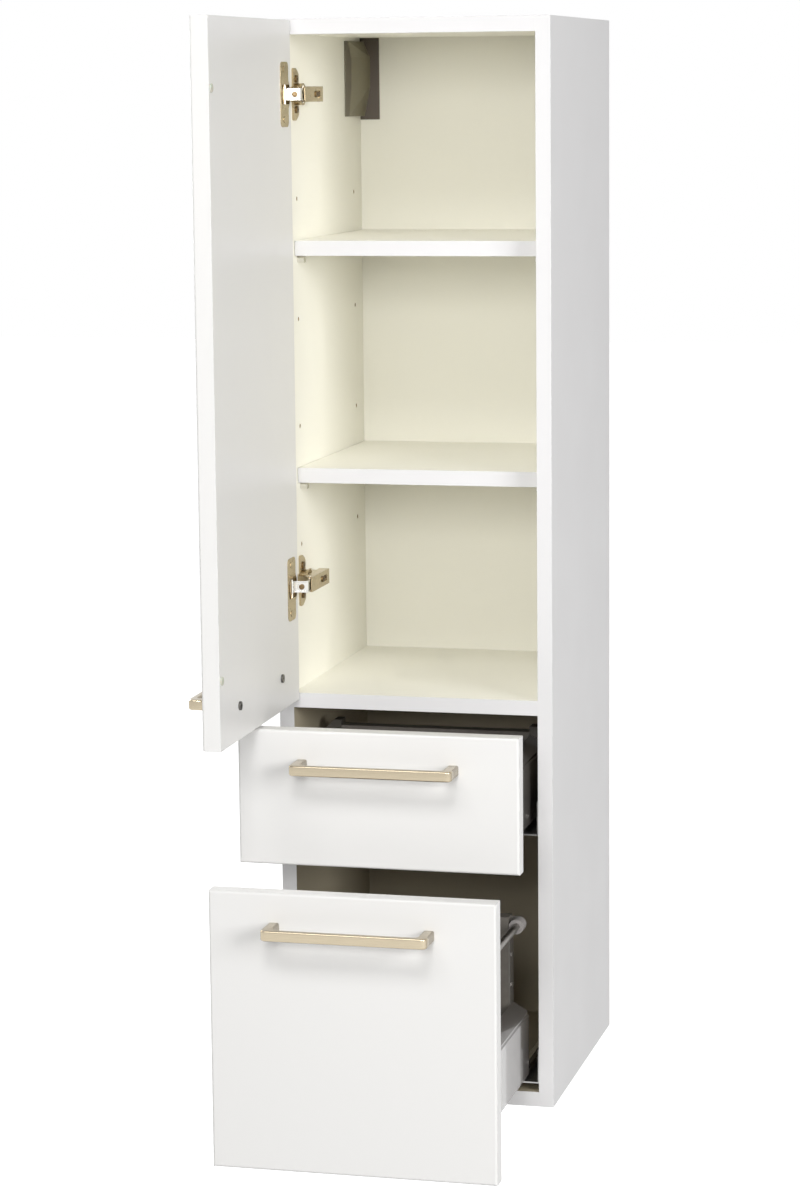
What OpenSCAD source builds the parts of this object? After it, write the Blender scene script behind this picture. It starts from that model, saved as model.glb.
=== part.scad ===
// Wall-hung bathroom cabinet with a hinged door over two pull-out drawers.
// X runs to the right, Y runs from the room into the wall and Z runs up.
// The origin lies on the wall plane, midway between the wall hooks, at the height of their seats.
// The rest pose has the door open square and both drawers pulled out.

/* [Cabinet] */
// Overall width of the cabinet
cabinet_w = 300; // [280:1:450]
// Overall height of the cabinet
cabinet_h = 1160; // [1120:1:1400]
// Depth of the carcass from the wall to its front edges
cabinet_d = 330; // [325:1:400]
// Thickness of the carcass boards
board_t = 16; // [15:0.5:19]
// Thickness of the back panel
back_t = 3; // [2.5:0.5:4]
// Space between the back panel and the wall
back_void = 16; // [14:0.5:20]
// Depth of the groove that takes the back panel
groove_d = 6; // [4:0.5:8]
// Height of the cabinet top above the seats of the wall hooks
hook_drop = 60; // [56:1:80]

/* [Shelves] */
// Height of the fixed shelf's top above the lower edge of the door
fixed_shelf_lap = 6; // [4:0.5:9]
// Thickness of the adjustable shelves
shelf_t = 16; // [15:0.5:19]
// Distance of the adjustable shelves' front edges behind the carcass front
shelf_setback = 27; // [15:1:40]
// Play at each end of an adjustable shelf
shelf_play = 0.5; // [0.3:0.1:1.5]
// Height of the lower shelf's pins above the fixed shelf
lower_pin_h = 220.5; // [180:0.5:240]
// Height of the upper shelf's pins above the fixed shelf
upper_pin_h = 463.5; // [420:0.5:480]
// Spacing of the three pin holes in each group
pin_step = 64; // [32:32:64]
// Distance of the front pin row behind the carcass front
pin_front = 40; // [37:1:60]
// Distance of the rear pin row in front of the back panel
pin_rear = 34; // [30:1:80]
// Diameter of a shelf pin
pin_d = 5; // [4:0.5:6]
// Depth of a shelf pin hole
pin_hole_l = 9; // [7:0.5:11]
// Diameter of a shelf pin's head
pin_head_d = 8; // [7:0.5:10]
// Length of a shelf pin's head under the shelf
pin_head_l = 8; // [6:0.5:12]

/* [Fronts] */
// Thickness of the door and the drawer fronts
front_t = 19; // [16:0.5:22]
// Radius of the soft outer edges of the fronts
front_r = 2.5; // [1:0.25:4]
// Distance of the fronts inside the outline of the carcass
reveal = 1.5; // [1:0.25:2]
// Gap between two fronts
front_gap = 3; // [2:0.5:5]
// Air between a closed front and the carcass edges
front_air = 2; // [1.8:0.1:2.4]
// Height of the deep drawer's front
deep_front_h = 289; // [275:1:320]
// Height of the small drawer's front
small_front_h = 142; // [135:1:180]

/* [Handles] */
// Spacing of a handle's two screws
handle_span = 160; // [96:32:192]
// Width of a handle's foot
handle_foot_w = 11; // [9:0.5:14]
// Height of a handle's bar
handle_h = 11; // [9:0.5:14]
// Thickness of a handle's bar
handle_bar_t = 7; // [5:0.5:9]
// Distance of a handle's face from the front
handle_reach = 34.5; // [28:0.5:40]
// Radius of a handle's outer corners
handle_corner_r = 6; // [3:0.5:8]
// Radius of a handle's inner corners
handle_inner_r = 4; // [2:0.5:6]
// Radius of the long edges of a handle's face
handle_edge_r = 2; // [0.5:0.25:3]
// Distance of a drawer handle below the top edge of its front
handle_drop = 35.5; // [25:0.5:60]
// Height of the door handle above the lower edge of the door
door_handle_rise = 34.5; // [25:0.5:60]
// Diameter of a handle screw's shank
handle_screw_d = 4; // [3:0.5:5]
// Diameter of a handle screw's head
handle_head_d = 9; // [7:0.5:11]
// Thickness of a handle screw's head
handle_head_t = 2; // [1.5:0.25:3]

/* [Hinges] */
// Distance of the upper hinge below the top edge of the door
upper_hinge_drop = 76.5; // [70:0.5:110]
// Height of the lower hinge above the lower edge of the door
lower_hinge_rise = 123.5; // [100:0.5:140]
// Diameter of a hinge cup
cup_d = 35; // [34:0.5:36]
// Depth of a hinge cup
cup_depth = 11.5; // [11:0.25:12]
// Distance of a cup's centre from the door's hinge edge
cup_edge = 21.5; // [21:0.5:22.5]
// Wall thickness of a cup and its flange
cup_wall = 0.8; // [0.6:0.1:1]
// Length of a cup's flange along the door edge
cup_flange_l = 67; // [62:0.5:70]
// Width of a cup's flange across the door
cup_flange_w = 29.5; // [25:0.5:31]
// Spacing of the two screws of a cup
cup_screw_span = 52; // [48:1:54]
// Distance of the arm's pivot from the side panel
arm_pivot_out = 17; // [16.5:0.1:17.5]
// Distance of the arm's pivot behind the carcass front
arm_pivot_in = 9; // [8.5:0.1:9.5]
// Distance of the cup's pivot from the door's hinge edge
cup_pivot_u = 9; // [8.8:0.1:9.4]
// Depth of the cup's pivot below the door's inner face
cup_pivot_v = 4; // [3.8:0.1:4.4]
// Turn of the link for each degree that the door turns
link_share = 0.3; // [0.28:0.01:0.32]
// Diameter of the hinge pivot pins
hinge_pin_d = 2.6; // [2.2:0.1:3]
// Thickness of a hinge link's strap
link_t = 2.4; // [2:0.1:2.6]
// Height of a hinge link
link_h = 12.4; // [11.5:0.1:12.6]
// Outer height of a hinge arm
arm_h = 16; // [15.5:0.1:17]
// Sheet thickness of a hinge arm
arm_t = 1.2; // [1:0.1:1.4]
// Distance of an arm's outer face from the side panel
arm_out = 21.2; // [21:0.1:22]
// Distance of an arm's front end behind the carcass front
arm_front = 3; // [2.5:0.1:4]
// Distance of an arm's rear end behind the carcass front
arm_rear = 73; // [68:0.5:80]
// Distance of the plate screws behind the carcass front
plate_line = 37; // [35:0.5:39]
// Spacing of the two screws of a mounting plate
plate_screw_span = 32; // [32:1:34]
// Height of a mounting plate's wings
plate_h = 55; // [50:0.5:60]
// Width of a mounting plate's wings
plate_w = 20.5; // [20:0.5:26]
// Thickness of a mounting plate's wings
plate_t = 2; // [1.5:0.1:3]

/* [Runners] */
// Length of the drawer runners
runner_l = 250; // [240:1:270]
// Travel of a drawer from closed to its stop
runner_travel = 253; // [200:1:255]
// Distance that the deep drawer is pulled out at rest
deep_out = 253; // [0:1:253]
// Distance that the small drawer is pulled out at rest
small_out = 142; // [0:1:253]
// Distance of the runners behind the carcass front
runner_in = 2; // [1:0.5:6]
// Sheet thickness of the runner rails
rail_t = 1.5; // [1.2:0.1:1.8]
// Running clearance between two rails
rail_gap = 0.35; // [0.3:0.05:0.5]
// Width of the running head of a rail
rail_head_w = 5.2; // [4.6:0.1:6]
// Thickness of the running head of a rail
rail_head_t = 1.8; // [1.5:0.1:2.2]
// Height of a rail's web below its head
rail_web_h = 4.8; // [4:0.1:6]
// Drop of the cabinet rail below the drawer side
rail_drop = 12; // [10:0.5:14]
// Height of the cabinet rail's leg on the side panel
rail_leg_h = 37; // [30:0.5:45]

/* [Drawers] */
// Distance between the side panel and a drawer side
side_gap = 10; // [9:0.5:13]
// Overall thickness of a drawer side
side_w = 18; // [17.5:0.25:20]
// Height of a drawer side's outer wall
side_h = 70; // [60:1:90]
// Rise of a drawer side's cap from its outer to its inner edge
cap_rise = 10; // [6:0.5:14]
// Sheet thickness of a drawer side
sheet_t = 1.2; // [1:0.1:1.5]
// Depth of the groove under a drawer side's cap
side_groove_d = 1.6; // [0.8:0.1:2]
// Height of the groove under a drawer side's cap
side_groove_h = 3.2; // [2:0.1:5]
// Width of the foot that carries the drawer bottom
foot_w = 12; // [8:0.5:20]
// Thickness of a drawer's bottom and back boards
drawer_board_t = 16; // [12:0.5:16]
// Height of the small drawer's sides above the lower edge of its front
small_side_rise = 16.5; // [14:0.5:20]
// Height of the deep drawer's sides above the lower edge of its front
deep_side_rise = 35.5; // [30:0.5:45]
// Height of the small drawer's back above the lower edge of its sides
small_back_h = 83; // [82:0.5:95]
// Height of the deep drawer's back above the lower edge of its sides
deep_back_h = 176; // [170:0.5:200]
// Height of the railing above the lower edge of the deep drawer's sides
railing_h = 166; // [155:0.5:170]
// Diameter of the railing rods
railing_d = 8; // [7:0.5:10]
// Diameter of the railing's rear sockets
socket_d = 15.8; // [13:0.1:16]
// Length of the railing's rear sockets
socket_l = 16; // [12:0.5:20]
// Sheet thickness of the drawer brackets
bracket_t = 1.5; // [1:0.1:2]

/* [Wall hangers] */
// Height of a hanger cover
cover_h = 87.5; // [80:0.5:95]
// Reach of a hanger cover along the side panel
cover_side_w = 70; // [60:0.5:80]
// Reach of a hanger cover along the back panel
cover_back_w = 22.5; // [20:0.5:30]
// Distance of a cover's fold from the back panel
cover_fold_side = 44.5; // [40:0.5:50]
// Distance of a cover's fold from the side panel
cover_fold_back = 11.7; // [10.5:0.1:14]
// Wall thickness of a hanger cover
cover_t = 1.2; // [1:0.1:1.5]
// Thickness of the steel of a wall hook
hook_t = 2.5; // [2:0.1:3]
// Height of a wall hook's bar
hook_h = 14; // [10:0.5:16]

/* [Hidden] */

// Colours of the finishes
white_board = "#EFEDE8";
cream_board = "#ECEADF";
edge_white = "#F7F6F4";
nickel = "#C9BBA3";
hinge_nickel = "#B9A886";
bright_steel = "#C8C8C4";
zinc = "#AFB0B0";
silver_paint = "#B4B0AC";
grey_board = "#8E8B88";
grey_plastic = "#9B9795";
taupe_plastic = "#6B6557";
beech = "#C8A878";
clear_rubber = "#E4E2DC";

// Rounding of circles, and a small length that lets cuts run past faces
$fn = 64;
fine_fn = 40;
eps = 0.01;
over = 1;

// Clearances
fit_gap = 0.1;
seat_gap = 0.2;
pin_gap = 0.05;
run_gap = 0.3;

// Places of the carcass
inner_w = cabinet_w - 2 * board_t;
inner_x = inner_w / 2;
z_top = hook_drop;
z_bot = hook_drop - cabinet_h;
y_front = -cabinet_d;
back_face_y = -(back_void + back_t);
back_in = cabinet_d + back_face_y;

// Places of the fronts
front_w = cabinet_w - 2 * reveal;
deep_z = z_bot + reveal;
small_z = deep_z + deep_front_h + front_gap;
door_z = small_z + small_front_h + front_gap;
door_h = z_top - reveal - door_z;
fixed_top = door_z + fixed_shelf_lap;

// Joints of the carcass boards, as distances behind the front
cam_front = 37;
cam_rear = 50;
dowel_step = 32;
cam_places = [cam_front, back_in - cam_rear];
dowel_places = [cam_front + dowel_step, back_in - cam_rear - dowel_step];
cam_d = 15;
cam_l = 12.5;
cam_in = 34;
cam_bolt_d = 6;
cam_bolt_l = 11;
cam_slot_w = 2;
cam_slot_l = 10;
cam_slot_t = 3;
dowel_d = 8;
dowel_side_l = 10;
dowel_end_l = 20;
hole_tip = 1;
cam_boards = [
    [z_top - board_t, 1],
    [z_bot, -1],
    [fixed_top - board_t, -1]
];

// Shelf pins
pin_rows = [pin_front, back_in - pin_rear];
pin_heights = [lower_pin_h, upper_pin_h];
pin_tab_l = 9;
pin_tab_t = 1.5;
pin_collar = 0.8;

// Screw heads and their recesses
handle_screw_reach = 10;
drive_w = 1;
drive_l = 4.6;
drive_t = 1;

// Hinge places
hinge_zs = [door_z + door_h - upper_hinge_drop, door_z + lower_hinge_rise];
arm_pivot = [-(inner_x - arm_pivot_out), y_front + arm_pivot_in];
closed_corner = [-(cabinet_w / 2 - reveal), y_front - front_air];
link_start = [cup_pivot_u, -cup_pivot_v];
closed_pivot = closed_corner + link_start;
door_turn = 89.4;
link_turn = door_turn * link_share;
open_pivot = arm_pivot + turned(closed_pivot - arm_pivot, link_turn);
door_corner = open_pivot - turned(link_start, -door_turn);
function turned(v, a) = [v[0] * cos(a) - v[1] * sin(a), v[0] * sin(a) + v[1] * cos(a)];
pin_seat = 0.6;
knuckle_r = 2.2;
link_web_t = 1.3;
link_rim_h = 1.6;
link_rivet_r = 3.2;
rivet_share = 0.6;
arm_wall_l = 10;
arm_nose_w = 2;
cup_offset = 6;
flange_offset = 4.2;
cup_mouth = 20;
cup_pin_half = sqrt(pow(cup_d / 2 - cup_wall, 2) - pow(cup_edge - cup_pivot_u, 2));
plate_screw_d = 5;
plate_screw_l = 10;
plate_head_d = 8;
plate_head_t = 1.4;
plate_block_front = 20;
plate_block_rear = 70;
plate_lap = 11;
plate_tip_r = 3;
shoulder_r = 11.5;
shoulder_t = 9.5;
arm_screw_in = 46;
arm_screw_d = 6.8;
arm_screw_t = 1.2;
arm_cam_in = 57.5;
arm_cam_r = 2.7;
arm_slot_l = 10.5;
arm_slot_h = 7;
arm_drive_w = 1.2;
cup_screw_r = 1.9;
cup_head_r = 3.4;
cup_head_t = 0.9;
cup_flange_r = 6;
bumper_d = 9;
bumper_t = 1.6;
bumper_drop = 69.5;
bumper_rise = 70.5;

// The middle line of a link, in the door's own frame when the door is closed:
// it runs flat from the cup's pivot down into the cup, bends, and climbs to the arm's pivot
link_steps = [[0, 0], [14.6, -4.3], [16.6, -3.5], [17.8, -1.2]];
link_line = concat([for (p = link_steps) link_start + p], [arm_pivot - closed_corner]);
rivet_step = link_line[1] - link_line[0];
rivet_place = link_line[0] + rivet_share * rivet_step;

// Drawer places, the runner section is measured from the drawer side's lower edge
small_side_z = small_z + small_side_rise;
deep_side_z = deep_z + deep_side_rise;
small_y = y_front - front_air - small_out;
deep_y = y_front - front_air - deep_out;
rail_y = y_front + runner_in;
small_mid_y = rail_y - small_out / 2;
deep_mid_y = rail_y - deep_out / 2;
rail_mid = side_gap + side_w / 2;
rail_floor = -rail_drop;
head_1 = rail_floor + rail_t + rail_web_h + rail_t + rail_gap;
cavity_1 = head_1 + rail_head_t + rail_gap;
head_2 = cavity_1 + rail_t + rail_web_h;
cavity_2 = head_2 + rail_head_t + rail_gap;
rail_top = cavity_2 + 2 * rail_t;
rail_wing = side_w / 2 - sheet_t - run_gap;
rail_half = rail_head_w / 2 + rail_gap + rail_t;
foot_top = 4;
floor_top = foot_top + drawer_board_t;
board_half = inner_x - side_gap - side_w - seat_gap;
rail_screw_places = [30, 222];
rail_screw_z = 14;
rail_screw_r = 2;
rail_screw_head_r = 3.8;
rail_screw_head_t = 1.8;
rail_screw_l = 12;
tab_h = 40;
tab_z = 18;
front_tab_l = 42;
rear_tab_l = 18;
rear_plate_w = 25;
back_screw_z = [101, 134];
back_screw_r = 3;
back_screw_t = 1;
cap_lift = 9;
cap_flat = 10;
socket_wall = 2.6;
front_socket_l = 10;
railing_x = inner_x - side_gap - side_w + socket_d / 2 + 0.1;
railing_seat = 5;

// Wall hanger places
cover_z = z_top - board_t;
hanger_top = cover_z - 20;
hanger_h = 38;
hanger_w = 6;
hanger_d = 15;
hook_x = inner_x - 3.4;
hook_lip = 12;
hook_rise = 4;
rail_room = 4;
fold_h = 33.5;
fold_top = 21.5;
flange_trim = 4;

// Profiles of a cover's raised middle from top to bottom, each one with its distance below the
// cover's top, and its reach along the side panel and along the back panel
ridge_profiles = [
    [flange_trim, 58, 4.3],
    [fold_top, cover_fold_side, cover_fold_back],
    [fold_top + fold_h, cover_fold_side, cover_fold_back],
    [cover_h, 57, 4.8]
];
screw_r = 3.2;

// Copies a right-hand shape to the right, side = 1, or to the left, side = -1
module on_side(side) {
    mirror([side < 0 ? 1 : 0, 0, 0])
        children();
}

// Extrudes an outline in X and Z along Y
module along_y(y0, y1) {
    translate([0, y1, 0])
        rotate([90, 0, 0])
            linear_extrude(y1 - y0)
                children();
}

// Extrudes an outline in Y and Z along X
module along_x(x0, x1) {
    translate([x0, 0, 0])
        rotate([90, 0, 90])
            linear_extrude(x1 - x0)
                children();
}

// A box between two corners
module block(a, b) {
    translate(a)
        cube(b - a);
}

// A cylinder along X from x0 to x1
module rod_x(x0, x1, y, z, r) {
    translate([x0, y, z])
        rotate([0, 90, 0])
            cylinder(h = x1 - x0, r = r);
}

// A cylinder along Y from y0 to y1
module rod_y(y0, y1, x, z, r) {
    translate([x, y1, z])
        rotate([90, 0, 0])
            cylinder(h = y1 - y0, r = r);
}

// A rectangle with two rounded corners at its low edge
module soft_rect(w, h, r) {
    union() {
        translate([0, r])
            square([w, h - r]);
        translate([r, 0])
            square([w - 2 * r, r]);
        translate([r, r])
            circle(r);
        translate([w - r, r])
            circle(r);
    }
}

// A rectangle with four rounded corners, centred
module round_rect(w, h, r) {
    union() {
        square([w - 2 * r, h], center = true);
        square([w, h - 2 * r], center = true);
        for (i = [-1, 1], j = [-1, 1])
            translate([i * (w / 2 - r), j * (h / 2 - r)])
                circle(r);
    }
}

// A front board: its rear face at y = 0, its lower left corner at x = 0 and z = 0
module front_board(w, h) {
    intersection() {
        translate([0, -front_t, 0])
            linear_extrude(h)
                soft_rect(w, front_t, front_r);
        along_x(0, w)
            translate([-front_t, 0])
                soft_edge_rect(front_t, h, front_r);
    }
}

// A rectangle whose two corners at its low X edge are rounded
module soft_edge_rect(w, h, r) {
    translate([0, h])
        rotate(-90)
            soft_rect(h, w, r);
}

// A bar handle on a face at y = 0, reaching towards -Y, centred on x = 0 and z = 0
module bar_handle() {
    len = handle_span + handle_foot_w;
    gap = handle_span - handle_foot_w;
    difference() {
        intersection() {
            translate([-len / 2, -handle_reach, -handle_h / 2])
                linear_extrude(handle_h)
                    soft_rect(len, handle_reach, handle_corner_r);
            along_x(-len / 2, len / 2)
                translate([-handle_reach, -handle_h / 2])
                    soft_edge_rect(handle_reach, handle_h, handle_edge_r);
        }
        translate([-gap / 2, handle_bar_t - handle_reach, -handle_h])
            linear_extrude(2 * handle_h)
                soft_rect(gap, handle_reach, handle_inner_r);
        for (i = [-1, 1])
            rod_y(-handle_screw_reach - hole_tip, over, i * handle_span / 2, 0,
                handle_screw_d / 2 + pin_gap);
    }
}

// The two screws of a handle, through a front whose rear face is at y = 0
module handle_screw_pair() {
    for (i = [-1, 1]) {
        rod_y(-front_t - handle_screw_reach, eps, i * handle_span / 2, 0, handle_screw_d / 2);
        difference() {
            rod_y(0, handle_head_t, i * handle_span / 2, 0, handle_head_d / 2);
            block([i * handle_span / 2 - drive_w / 2, handle_head_t - drive_t, -drive_l / 2],
                [i * handle_span / 2 + drive_w / 2, handle_head_t + over, drive_l / 2]);
            block([i * handle_span / 2 - drive_l / 2, handle_head_t - drive_t, -drive_w / 2],
                [i * handle_span / 2 + drive_l / 2, handle_head_t + over, drive_w / 2]);
        }
    }
}

// The holes of a handle's screws in a front
module handle_screw_holes() {
    for (i = [-1, 1])
        rod_y(-front_t - over, over, i * handle_span / 2, 0, handle_screw_d / 2 + fit_gap);
}

// Carcass boards

module pin_holes() {
    for (row = pin_rows, h = pin_heights, i = [-1, 0, 1])
        rod_x(inner_x - over, inner_x + pin_hole_l, y_front + row, fixed_top + h + i * pin_step, pin_d / 2);
}

module cam_bolt_holes() {
    for (board = cam_boards) {
        for (y = cam_places)
            rod_x(inner_x - over, inner_x + cam_bolt_l + hole_tip, y_front + y, board[0] + board_t / 2,
                cam_bolt_d / 2 + pin_gap);
        for (y = dowel_places)
            rod_x(inner_x - over, inner_x + dowel_side_l + hole_tip, y_front + y, board[0] + board_t / 2,
                dowel_d / 2 + pin_gap);
    }
}

module rail_screw_holes() {
    for (z = [small_side_z, deep_side_z], y = rail_screw_places)
        rod_x(inner_x - over, inner_x + rail_screw_l, rail_y + y, z + rail_floor + rail_screw_z,
            rail_screw_r + pin_gap);
}

module plate_screw_holes() {
    for (z = hinge_zs, i = [-1, 1])
        rod_x(inner_x - over, inner_x + plate_screw_l + hole_tip, y_front + plate_line,
            z + i * plate_screw_span / 2, plate_screw_d / 2 + pin_gap);
}

module side_panel(side) {
    color(white_board)
        on_side(side)
            difference() {
                block([inner_x, y_front, z_bot], [inner_x + board_t, 0, z_top]);
                block([inner_x - over, back_face_y - fit_gap, z_bot - over],
                    [inner_x + groove_d, back_face_y + back_t + fit_gap, z_top + over]);
                pin_holes();
                cam_bolt_holes();
                rail_screw_holes();
                if (side < 0)
                    plate_screw_holes();
            }
}

// A cross board between the side panels, drilled for cams and dowels at both ends
module cross_board(z, y_rear, cam_side) {
    mid = z + board_t / 2;
    difference() {
        block([-inner_x, y_front, z], [inner_x, y_rear, z + board_t]);
        for (side = [-1, 1])
            on_side(side) {
                for (y = cam_places) {
                    rod_x(inner_x - cam_in, inner_x + over, y_front + y, mid, cam_bolt_d / 2 + pin_gap);
                    translate([inner_x - cam_in, y_front + y, cam_side > 0 ? z + board_t - cam_l : z - over])
                        cylinder(h = cam_l + over, r = cam_d / 2 + pin_gap);
                }
                for (y = dowel_places)
                    rod_x(inner_x - dowel_end_l - hole_tip, inner_x + over, y_front + y, mid,
                        dowel_d / 2 + pin_gap);
            }
    }
}

module back_groove(z, up) {
    block([-inner_x - over, back_face_y - fit_gap, up ? z : z - groove_d],
        [inner_x + over, back_face_y + back_t + fit_gap, up ? z + groove_d : z + over]);
}

module top_panel() {
    color(white_board)
        difference() {
            cross_board(z_top - board_t, 0, 1);
            back_groove(z_top - board_t - eps, true);
        }
}

module bottom_panel() {
    color(white_board)
        difference() {
            cross_board(z_bot, 0, -1);
            back_groove(z_bot + board_t, false);
        }
}

module fixed_shelf() {
    color(cream_board)
        cross_board(fixed_top - board_t, back_face_y - seat_gap, -1);
}

module back_panel() {
    grip = groove_d - 2 * seat_gap;
    color(cream_board)
        difference() {
            block([-inner_x - grip, back_face_y, z_bot + board_t - grip],
                [inner_x + grip, back_face_y + back_t, z_top - board_t + grip]);
            for (side = [-1, 1])
                on_side(side)
                    block([hook_x - hook_t / 2 - rail_room, back_face_y - over, -hook_rise - rail_room],
                        [inner_x + over, back_face_y + back_t + over, hook_h + rail_room]);
        }
}

module shelf(pin_h) {
    z = fixed_top + pin_h + pin_head_d / 2;
    color(cream_board)
        block([-inner_x + shelf_play, y_front + shelf_setback, z],
            [inner_x - shelf_play, back_face_y - seat_gap, z + shelf_t]);
}

module shelf_pin(h, row) {
    z = fixed_top + h;
    y = y_front + row;
    rod_x(inner_x - eps, inner_x + pin_hole_l - hole_tip, y, z, pin_d / 2 - pin_gap);
    rod_x(inner_x - pin_head_l, inner_x, y, z, pin_head_d / 2 - pin_gap);
    block([inner_x - pin_tab_l, y, z + pin_head_d / 2 - pin_tab_t - pin_gap],
        [inner_x - pin_collar, y + pin_tab_l, z + pin_head_d / 2 - pin_gap]);
}

module shelf_pins() {
    color(nickel)
        for (side = [-1, 1], h = pin_heights, row = pin_rows)
            on_side(side)
                shelf_pin(h, row);
}

module panel_dowels() {
    color(beech)
        for (side = [-1, 1], board = cam_boards, y = dowel_places)
            on_side(side)
                rod_x(inner_x - dowel_end_l, inner_x + dowel_side_l, y_front + y, board[0] + board_t / 2,
                    dowel_d / 2);
}

module cam_fitting(z, y, cam_side) {
    x = inner_x - cam_in;
    face = cam_side > 0 ? z + board_t : z;
    slot_low = face - (cam_side > 0 ? cam_slot_t : over);
    slot_high = face + (cam_side > 0 ? over : cam_slot_t);
    difference() {
        translate([x, y, cam_side > 0 ? face - cam_l : face])
            cylinder(h = cam_l, r = cam_d / 2);
        block([x - cam_slot_l / 2, y - cam_slot_w / 2, slot_low],
            [x + cam_slot_l / 2, y + cam_slot_w / 2, slot_high]);
    }
    rod_x(x + cam_d / 2 + seat_gap, inner_x + cam_bolt_l, y, z + board_t / 2, cam_bolt_d / 2);
}

module cam_fittings() {
    color(zinc)
        for (side = [-1, 1], board = cam_boards, y = cam_places)
            on_side(side)
                cam_fitting(board[0], y_front + y, board[1]);
}

// Wall hangers

module hanger_body(side) {
    x0 = inner_x - hanger_w;
    z0 = hanger_top - hanger_h;
    color(zinc)
        on_side(side)
            difference() {
                block([x0, back_face_y - hanger_d, z0], [inner_x, back_face_y, hanger_top]);
                block([hook_x - hook_t / 2 - seat_gap, back_face_y - hanger_d + cover_t, -seat_gap],
                    [hook_x + hook_t / 2 + seat_gap, back_face_y + over, hook_h + seat_gap]);
                for (z = [z0 + hanger_h / 5, hanger_top - hanger_h / 8])
                    rod_x(x0 - over, x0 + plate_head_t, back_face_y - hanger_d / 2, z, screw_r);
            }
}

// A hook: a bar through the back panel with a lip that drops behind the wall rail
module wall_hook() {
    y0 = back_face_y - hanger_d + cover_t + seat_gap;
    y1 = -hook_rise;
    along_x(hook_x - hook_t / 2, hook_x + hook_t / 2)
        polygon([
            [y0, 0], [y1 - hook_rise, 0], [y1 - hook_rise, -hook_lip],
            [y1 - hook_rise / 2, -hook_lip - hook_rise / 2],
            [y1, -hook_lip], [y1, hook_h - hook_rise], [y1 - hook_rise, hook_h], [y0, hook_h]
        ]);
}

module wall_hooks() {
    color(bright_steel)
        for (side = [-1, 1])
            on_side(side)
                wall_hook();
}

// One profile of a cover's raised middle, made smaller by t and lifted by rise
module ridge_profile(p, t, rise) {
    translate([0, 0, cover_z - p[0] + rise])
        linear_extrude(eps)
            polygon([
                [inner_x + t, back_face_y + t],
                [inner_x + t, back_face_y - p[1] + 2 * t],
                [inner_x - cover_t + t, back_face_y - p[1] + 2 * t],
                [inner_x - p[2] + t, back_face_y - cover_t + t],
                [inner_x - p[2] + t, back_face_y + t]
            ]);
}

// The raised middle of a cover: a face across the corner that flattens towards both ends
module cover_ridge(t) {
    ends = len(ridge_profiles) - 1;
    for (i = [0 : ends - 1])
        hull() {
            ridge_profile(ridge_profiles[i], t, i == 0 ? -t : 0);
            ridge_profile(ridge_profiles[i + 1], t, i + 1 == ends ? t : 0);
        }
}

module hanger_cover(side) {
    zb = cover_z - cover_h - flange_trim;
    color(taupe_plastic)
        on_side(side)
            difference() {
                union() {
                    block([inner_x - cover_t, back_face_y - cover_side_w, zb + flange_trim],
                        [inner_x, back_face_y, cover_z - flange_trim]);
                    block([inner_x - cover_back_w, back_face_y - cover_t, zb],
                        [inner_x, back_face_y, cover_z]);
                    intersection() {
                        cover_ridge(0);
                        block([0, y_front, z_bot], [inner_x, back_face_y, z_top]);
                    }
                }
                cover_ridge(cover_t);
                block([inner_x - hanger_w - seat_gap, back_face_y - hanger_d - seat_gap,
                    hanger_top - hanger_h - seat_gap],
                    [inner_x + over, back_face_y + over, hanger_top + seat_gap]);
            }
}

// Hinges

// The wings of a mounting plate: straight along the front, bowed along the rear
module plate_wings() {
    intersection() {
        translate([0, plate_line - plate_lap + plate_w / 2, 0])
            rotate([0, 90, 0])
                linear_extrude(plate_t)
                    round_rect(plate_h, plate_w, plate_tip_r);
        rod_x(-over, plate_t + over, plate_line - plate_lap, 0, (plate_h + plate_tip_r) / 2);
    }
}

// The mounting plate: wings on the panel, a round shoulder and a block that carries the arm
module hinge_plate(z) {
    half_block = arm_h / 2 - arm_t - run_gap;
    block_out = arm_out - arm_t;
    color(hinge_nickel)
        translate([-inner_x, y_front, z])
            difference() {
                union() {
                    plate_wings();
                    rod_x(0, shoulder_t, plate_line, 0, shoulder_r);
                    block([0, plate_block_front, -half_block - arm_t - run_gap],
                        [plate_t, plate_block_rear, half_block + arm_t + run_gap]);
                    block([0, plate_block_front, -half_block], [block_out, plate_block_rear, half_block]);
                }
                for (i = [-1, 1])
                    rod_x(-over, plate_t + over, plate_line, i * plate_screw_span / 2,
                        plate_screw_d / 2 + pin_gap);
                for (y = [arm_screw_in, arm_cam_in])
                    rod_x(block_out - plate_screw_l, block_out + over, y, 0, cup_screw_r + pin_gap);
            }
}

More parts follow.
